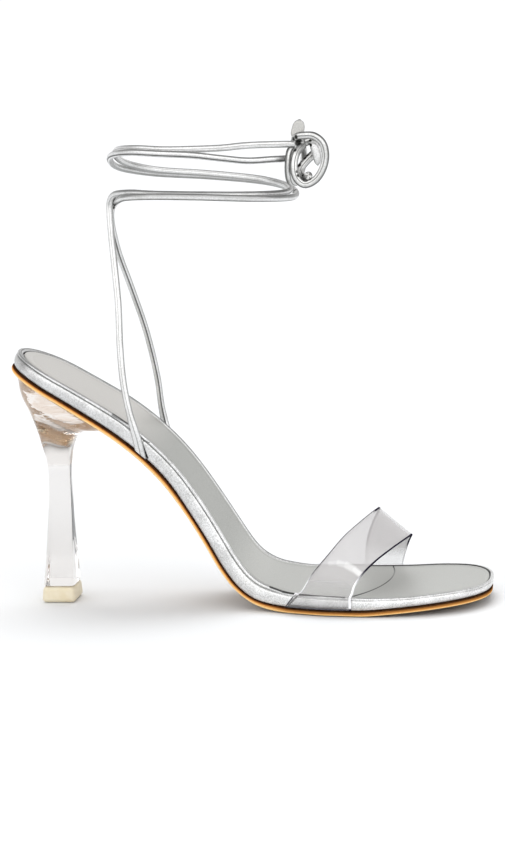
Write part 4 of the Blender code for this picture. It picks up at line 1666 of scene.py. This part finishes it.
@dataclass
class Bow:
    """Knot, two loops and three ends at the front of the ankle."""

    cord: float = 2.8
    loop_cord: float = 3.1
    step: float = 0.7
    knot_centre: Row = (108.2, -13.4, 192.4)
    wrap_radius: float = 2.1
    wrap_turns: float = 1.6
    wrap_advance: float = 3.4
    wrap_steps: int = 64
    # Depth of the wound cord as a share of its height
    wrap_depth: float = 0.8
    # Tones of the bow's cord, darker than the ties' as painted shade
    leather_light: Colour = (0.78, 0.78, 0.77)
    leather_dark: Colour = (0.5, 0.5, 0.49)
    # Width of the painted shade lines against those of the ties, and their strength
    line_spread: float = 1.15
    line_strength: float = 0.75
    # Painted shade spots in the gaps between strands: middle, radius, strength
    shade_spots: tuple[Row, ...] = (
        (107.5, -17.8, 195.9, 1.2, 1.0), (106.3, -16.4, 195.1, 1.2, 1.0), (108.1, -16.2, 193.4, 1.9, 1.0),
        (107.0, -18.4, 190.6, 1.1, 1.0), (109.8, -17.3, 190.5, 4.0, 0.45), (111.2, -11.8, 188.3, 1.1, 1.0),
        (110.2, -12.5, 187.1, 1.1, 1.0), (108.1, -14.1, 184.3, 1.2, 1.0), (108.2, -20.3, 180.3, 0.9, 1.0),
        (107.7, -20.2, 181.9, 0.8, 0.9), (110.0, -17.8, 180.4, 1.0, 1.0),
    )
    front_loop: Sequence[Row] = (
        (110.0, -15.0, 192.5), (107.6, -17.5, 189.5), (106.5, -19.0, 184.5), (107.4, -19.5, 179.3),
        (110.7, -19.5, 176.6), (115.1, -19.5, 178.3), (118.2, -19.5, 182.5), (119.6, -19.5, 188.0),
        (118.5, -19.5, 193.3), (115.0, -19.0, 196.2), (111.0, -18.0, 196.5), (108.4, -16.8, 196.2),
        (106.6, -14.4, 195.1), (106.0, -11.6, 193.0),
    )
    back_loop: Sequence[Row] = (
        (107.0, -12.5, 191.5), (104.8, -14.5, 190.5), (104.0, -15.5, 186.5), (103.7, -15.0, 181.6),
        (103.9, -12.5, 178.3), (104.7, -8.0, 176.9), (106.0, -3.5, 177.2), (107.2, -1.4, 180.0),
        (108.5, -2.0, 184.0), (109.4, -6.0, 189.3), (109.0, -10.0, 192.2),
    )
    leaf_up: Sequence[Row] = (
        (106.9, -11.0, 194.0), (107.3, -10.6, 197.3), (107.9, -10.2, 200.1), (108.3, -9.8, 202.6),
    )
    # Tones of the upright leaf, the same leather darker as painted shade
    leaf_light: Colour = (0.5, 0.49, 0.47)
    leaf_dark: Colour = (0.34, 0.34, 0.33)
    leaf_down: Sequence[Row] = (
        (112.4, -13.0, 194.0), (114.4, -14.0, 192.0), (115.6, -14.5, 188.3), (115.9, -14.5, 184.2),
    )
    # Painted shade where the hanging end leaves the knot
    leaf_down_shade_spots: tuple[Row, ...] = ((112.8, -13.7, 194.4, 1.1, 1.0), (113.0, -14.2, 192.4, 1.0, 1.0))
    # Leaf: share of its length, width, thickness
    leaf_sizes: Sequence[Row] = (
        (0.0, 2.8, 2.2), (0.35, 5.4, 1.6), (0.65, 5.2, 1.4), (0.86, 4.2, 1.2), (0.96, 2.6, 1.0),
        (1.0, 1.2, 0.6),
    )
    leaf_down_share: float = 0.72
    leaf_step: float = 0.25
    curled_cord: float = 3.4
    curled_end: Sequence[Row] = (
        (110.0, -11.0, 193.2), (112.8, -9.5, 194.1), (115.4, -9.0, 192.8), (115.6, -9.5, 190.3),
        (113.1, -10.5, 188.0), (110.1, -12.0, 185.0), (108.3, -13.5, 182.3), (109.3, -15.5, 179.5),
        (111.9, -18.0, 179.5), (112.4, -20.2, 180.3),
    )

    def leather(self) -> bpy.types.Material:
        """Finish of the rolled cord.

        Returns:
            The finish.
        """
        # Painted shade: darker tones, stronger lines and spots than the ties'
        shade_lines = tuple((place, half * self.line_spread, self.line_strength) for place, half, _ in ROLLED_SHADE_LINES)
        return SilverLeather(
            name="bow_silver", light=self.leather_light, dark=self.leather_dark, axis=UvAxis.ROUND,
            shade_lines=shade_lines, shade_spots=self.shade_spots,
        ).material()

    def even(self, size: float) -> Track:
        """A size that doesn't change."""
        return Track([(0, size), (1, size)])

    def lay_cord(self, name: str, points: Sequence[Row], size: float) -> tuple[bpy.types.Object, Ring]:
        """A round cord through a route's points, with its path."""
        path = even_path(smooth_path(points), self.step)
        return Cord(name, path, Vector((0.0, -1.0, 0.0)), self.even(size), self.even(size)).build(), path

    def build_knot(self, leather: bpy.types.Material) -> bpy.types.Object:
        """Build and dress the knot: the cord wound round the pair of ties.

        Args:
            leather: Finish of the rolled cord.

        Returns:
            The knot.
        """
        path: Ring = []
        for i in range(self.wrap_steps + 1):
            share = i / self.wrap_steps
            angle = 2 * math.pi * self.wrap_turns * share
            x = self.wrap_advance * (share - 0.5)
            y = self.wrap_radius * math.cos(angle) * self.wrap_depth
            path.append(Vector(self.knot_centre) + Vector((x, y, self.wrap_radius * math.sin(angle))))
        size = self.even(self.cord)
        piece = Cord("bow_wrap", path, Vector((1.0, 0.0, 0.0)), size, size).build()
        return add_piece(piece, leather, "silver_leather", ["bow_knot"])

    def build_loops(self, leather: bpy.types.Material) -> list[tuple[bpy.types.Object, Ring]]:
        """Build and dress the two loops.

        Args:
            leather: Finish of the rolled cord.

        Returns:
            Each loop with its path.
        """
        loops = []
        for name, node, points in (
            ("front_loop", "bow_loop_front", self.front_loop), ("back_loop", "bow_loop_back", self.back_loop),
        ):
            piece, path = self.lay_cord(name, points, self.loop_cord)
            loops.append((add_piece(piece, leather, "silver_leather", [node]), path))
        return loops

    def lay_leaf(self, name: str, points: Sequence[Row], share: float) -> bpy.types.Object:
        """A flat leaf-shaped end.

        Args:
            name: Name of the end.
            points: Its route.
            share: Share of the leaf's sizes.

        Returns:
            The end, not yet dressed.
        """
        path = even_path(smooth_path(points), self.leaf_step)
        length = path_length(path)
        width = Track([(row[0] * length, row[1] * share) for row in self.leaf_sizes])
        thickness = Track([(row[0] * length, row[2] * share) for row in self.leaf_sizes])
        return Cord(name, path, Vector((0.0, -1.0, 0.0)), width, thickness, groove=0.0).build()

    def build_ends(self, leather: bpy.types.Material) -> list[bpy.types.Object]:
        """Build and dress the two flat ends and the curled one.

        Args:
            leather: Finish of the rolled cord.

        Returns:
            The three ends.
        """
        # The upright leaf's darker tones are painted shade
        flat = SilverLeather(name="flat_silver", light=self.leaf_light, dark=self.leaf_dark).material()
        # Painted shade where the hanging end leaves the knot
        plain = SilverLeather(name="plain_silver", shade_spots=self.leaf_down_shade_spots).material()
        up = self.lay_leaf("leaf_end", self.leaf_up, 1.0)
        down = self.lay_leaf("hanging_end", self.leaf_down, self.leaf_down_share)
        curled, _ = self.lay_cord("curled_end", self.curled_end, self.curled_cord)
        return [
            add_piece(up, flat, "silver_leather", ["tie_end_up"]),
            add_piece(down, plain, "silver_leather", ["tie_end_down"]),
            add_piece(curled, leather, "silver_leather", ["tie_end_front"]),
        ]


@dataclass
class Studio:
    """Pale floor, soft light and the camera."""

    azimuth: float = 7.2
    elevation: float = 8.3
    roll: float = 1.5
    distance: float = 1100.0
    target: Row = (81.61, 20.43, 68.79)
    lens: float = 106.33
    sensor: float = 36.0
    # Nearest and farthest distance that the camera sees, and side of the floor, in metres
    clip: Row = (0.01, 200.0)
    floor_size: float = 40.0
    floor_level: float = -0.15
    # Brightness of the sky at the left, what is added to the right, and the X values between which it is
    sky_left: float = 0.3
    sky_right: float = 0.1
    sky_turn: Row = (-1.0, 0.6)
    # Brightness of the broad field before the shoe, and where it starts, ends and turns to the front
    field_power: float = 1.5
    field_rise: Row = (-0.03, 0.25)
    field_top: Row = (0.75, 0.98)
    field_front: Row = (-0.25, 0.5)
    # Bright band behind the shoe, at the floor's far edge: brightness, heights over which it fades, turn back
    horizon_power: float = 1.05
    horizon_rise: Row = (0.25, 0.8)
    horizon_back: Row = (0.0, 0.5)
    # Heights over which the thin pale line all round fades
    skyline_rise: Row = (0.1, 0.16)
    sun_power: float = 2.05
    sun_spread: float = 45.0
    sun_from: Row = (-0.05, 0.33, 0.92)

    def build_camera(self) -> bpy.types.Object:
        """Set the camera at the photograph's angle to the shoe.

        Returns:
            The camera.
        """
        azimuth, elevation, roll = (math.radians(a) for a in (self.azimuth, self.elevation, self.roll))
        flat = math.cos(elevation)
        back = Vector((math.sin(azimuth) * flat, -math.cos(azimuth) * flat, math.sin(elevation)))
        level = Vector((math.cos(azimuth), math.sin(azimuth), 0.0))
        upright = back.cross(level)
        right = level * math.cos(roll) - upright * math.sin(roll)
        up = level * math.sin(roll) + upright * math.cos(roll)
        place = (Vector(self.target) + back * self.distance) * MM
        bpy.ops.object.camera_add()
        camera = bpy.context.active_object
        camera.matrix_world = Matrix.Translation(place) @ Matrix((right, up, back)).transposed().to_4x4()
        camera.data.sensor_fit = "VERTICAL"
        camera.data.sensor_height = self.sensor
        camera.data.lens = self.lens
        camera.data.clip_start, camera.data.clip_end = self.clip
        bpy.context.scene.camera = camera
        return camera

    def build_floor(self) -> bpy.types.Object:
        """Lay the pale floor.

        Returns:
            The floor.
        """
        bpy.ops.object.select_all(action="DESELECT")
        bpy.ops.mesh.primitive_plane_add(size=self.floor_size, location=(0.0, 0.0, self.floor_level * MM))
        bpy.ops.object.transform_apply(location=True, rotation=True, scale=True)
        floor = bpy.context.active_object
        floor.name = "studio_floor"
        floor.data.materials.append(PaleFloor().material())
        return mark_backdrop(floor)

    def build_light(self) -> None:
        """Soft sky: a broad field before the shoe, a pale band behind it, and one lamp above and behind."""
        world = bpy.data.worlds.new("soft_sky")
        world.use_nodes = True
        bpy.context.scene.world = world
        sheet = NodeSheet(world.node_tree)
        x, y, z = (sheet.axis(name, "Generated") for name in "XYZ")
        field = z.ramp(*self.field_rise) * (1 - z.ramp(*self.field_top)) * (0 - y).ramp(*self.field_front)
        height = sheet.math("ABSOLUTE", z)
        band = (1 - height.ramp(*self.horizon_rise)) * y.ramp(*self.horizon_back)
        skyline = sheet.math("MAXIMUM", band, 1 - height.ramp(*self.skyline_rise)) * self.horizon_power
        dome = field * self.field_power + x.ramp(*self.sky_turn) * self.sky_right + self.sky_left
        strength = sheet.math("MAXIMUM", dome, skyline)
        shader = sheet.node("ShaderNodeBackground", sockets={0: (1.0, 1.0, 1.0, 1.0), 1: strength})
        sheet.node("ShaderNodeOutputWorld", sockets={"Surface": shader})
        bpy.ops.object.light_add(type="SUN")
        lamp = bpy.context.active_object
        lamp.name = "broad_lamp"
        lamp.rotation_euler = Vector(self.sun_from).to_track_quat("Z", "Y").to_euler()
        lamp.data.energy = self.sun_power
        lamp.data.angle = math.radians(self.sun_spread)
        lamp.visible_glossy = False

    def build(self) -> None:
        """Build the floor, the light and the camera."""
        self.build_camera()
        self.build_floor()
        self.build_light()
        settings = bpy.context.scene.view_settings
        settings.view_transform = "Standard"


def main() -> None:
    """Dress the shoe, piece by piece, and light it."""
    logging.basicConfig(level=logging.INFO, format="%(message)s")
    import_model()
    Studio().build()
    form = SoleForm()
    ties = AnkleTies(form)
    bow = Bow()
    leather = bow.leather()
    knot = bow.build_knot(leather)
    loops = bow.build_loops(leather)
    ends = bow.build_ends(leather)
    for piece, path in ties.build():
        path[0] * MM
        path_length(path) * MM
        [point * MM for point in path]
    for piece, path in loops:
        path[0] * MM
        path_length(path) * MM
        [point * MM for point in path]
    Footbed(form).build()
    Heel(form).build()
    ToeBand(form).build()


if __name__ == "__main__":
    main()
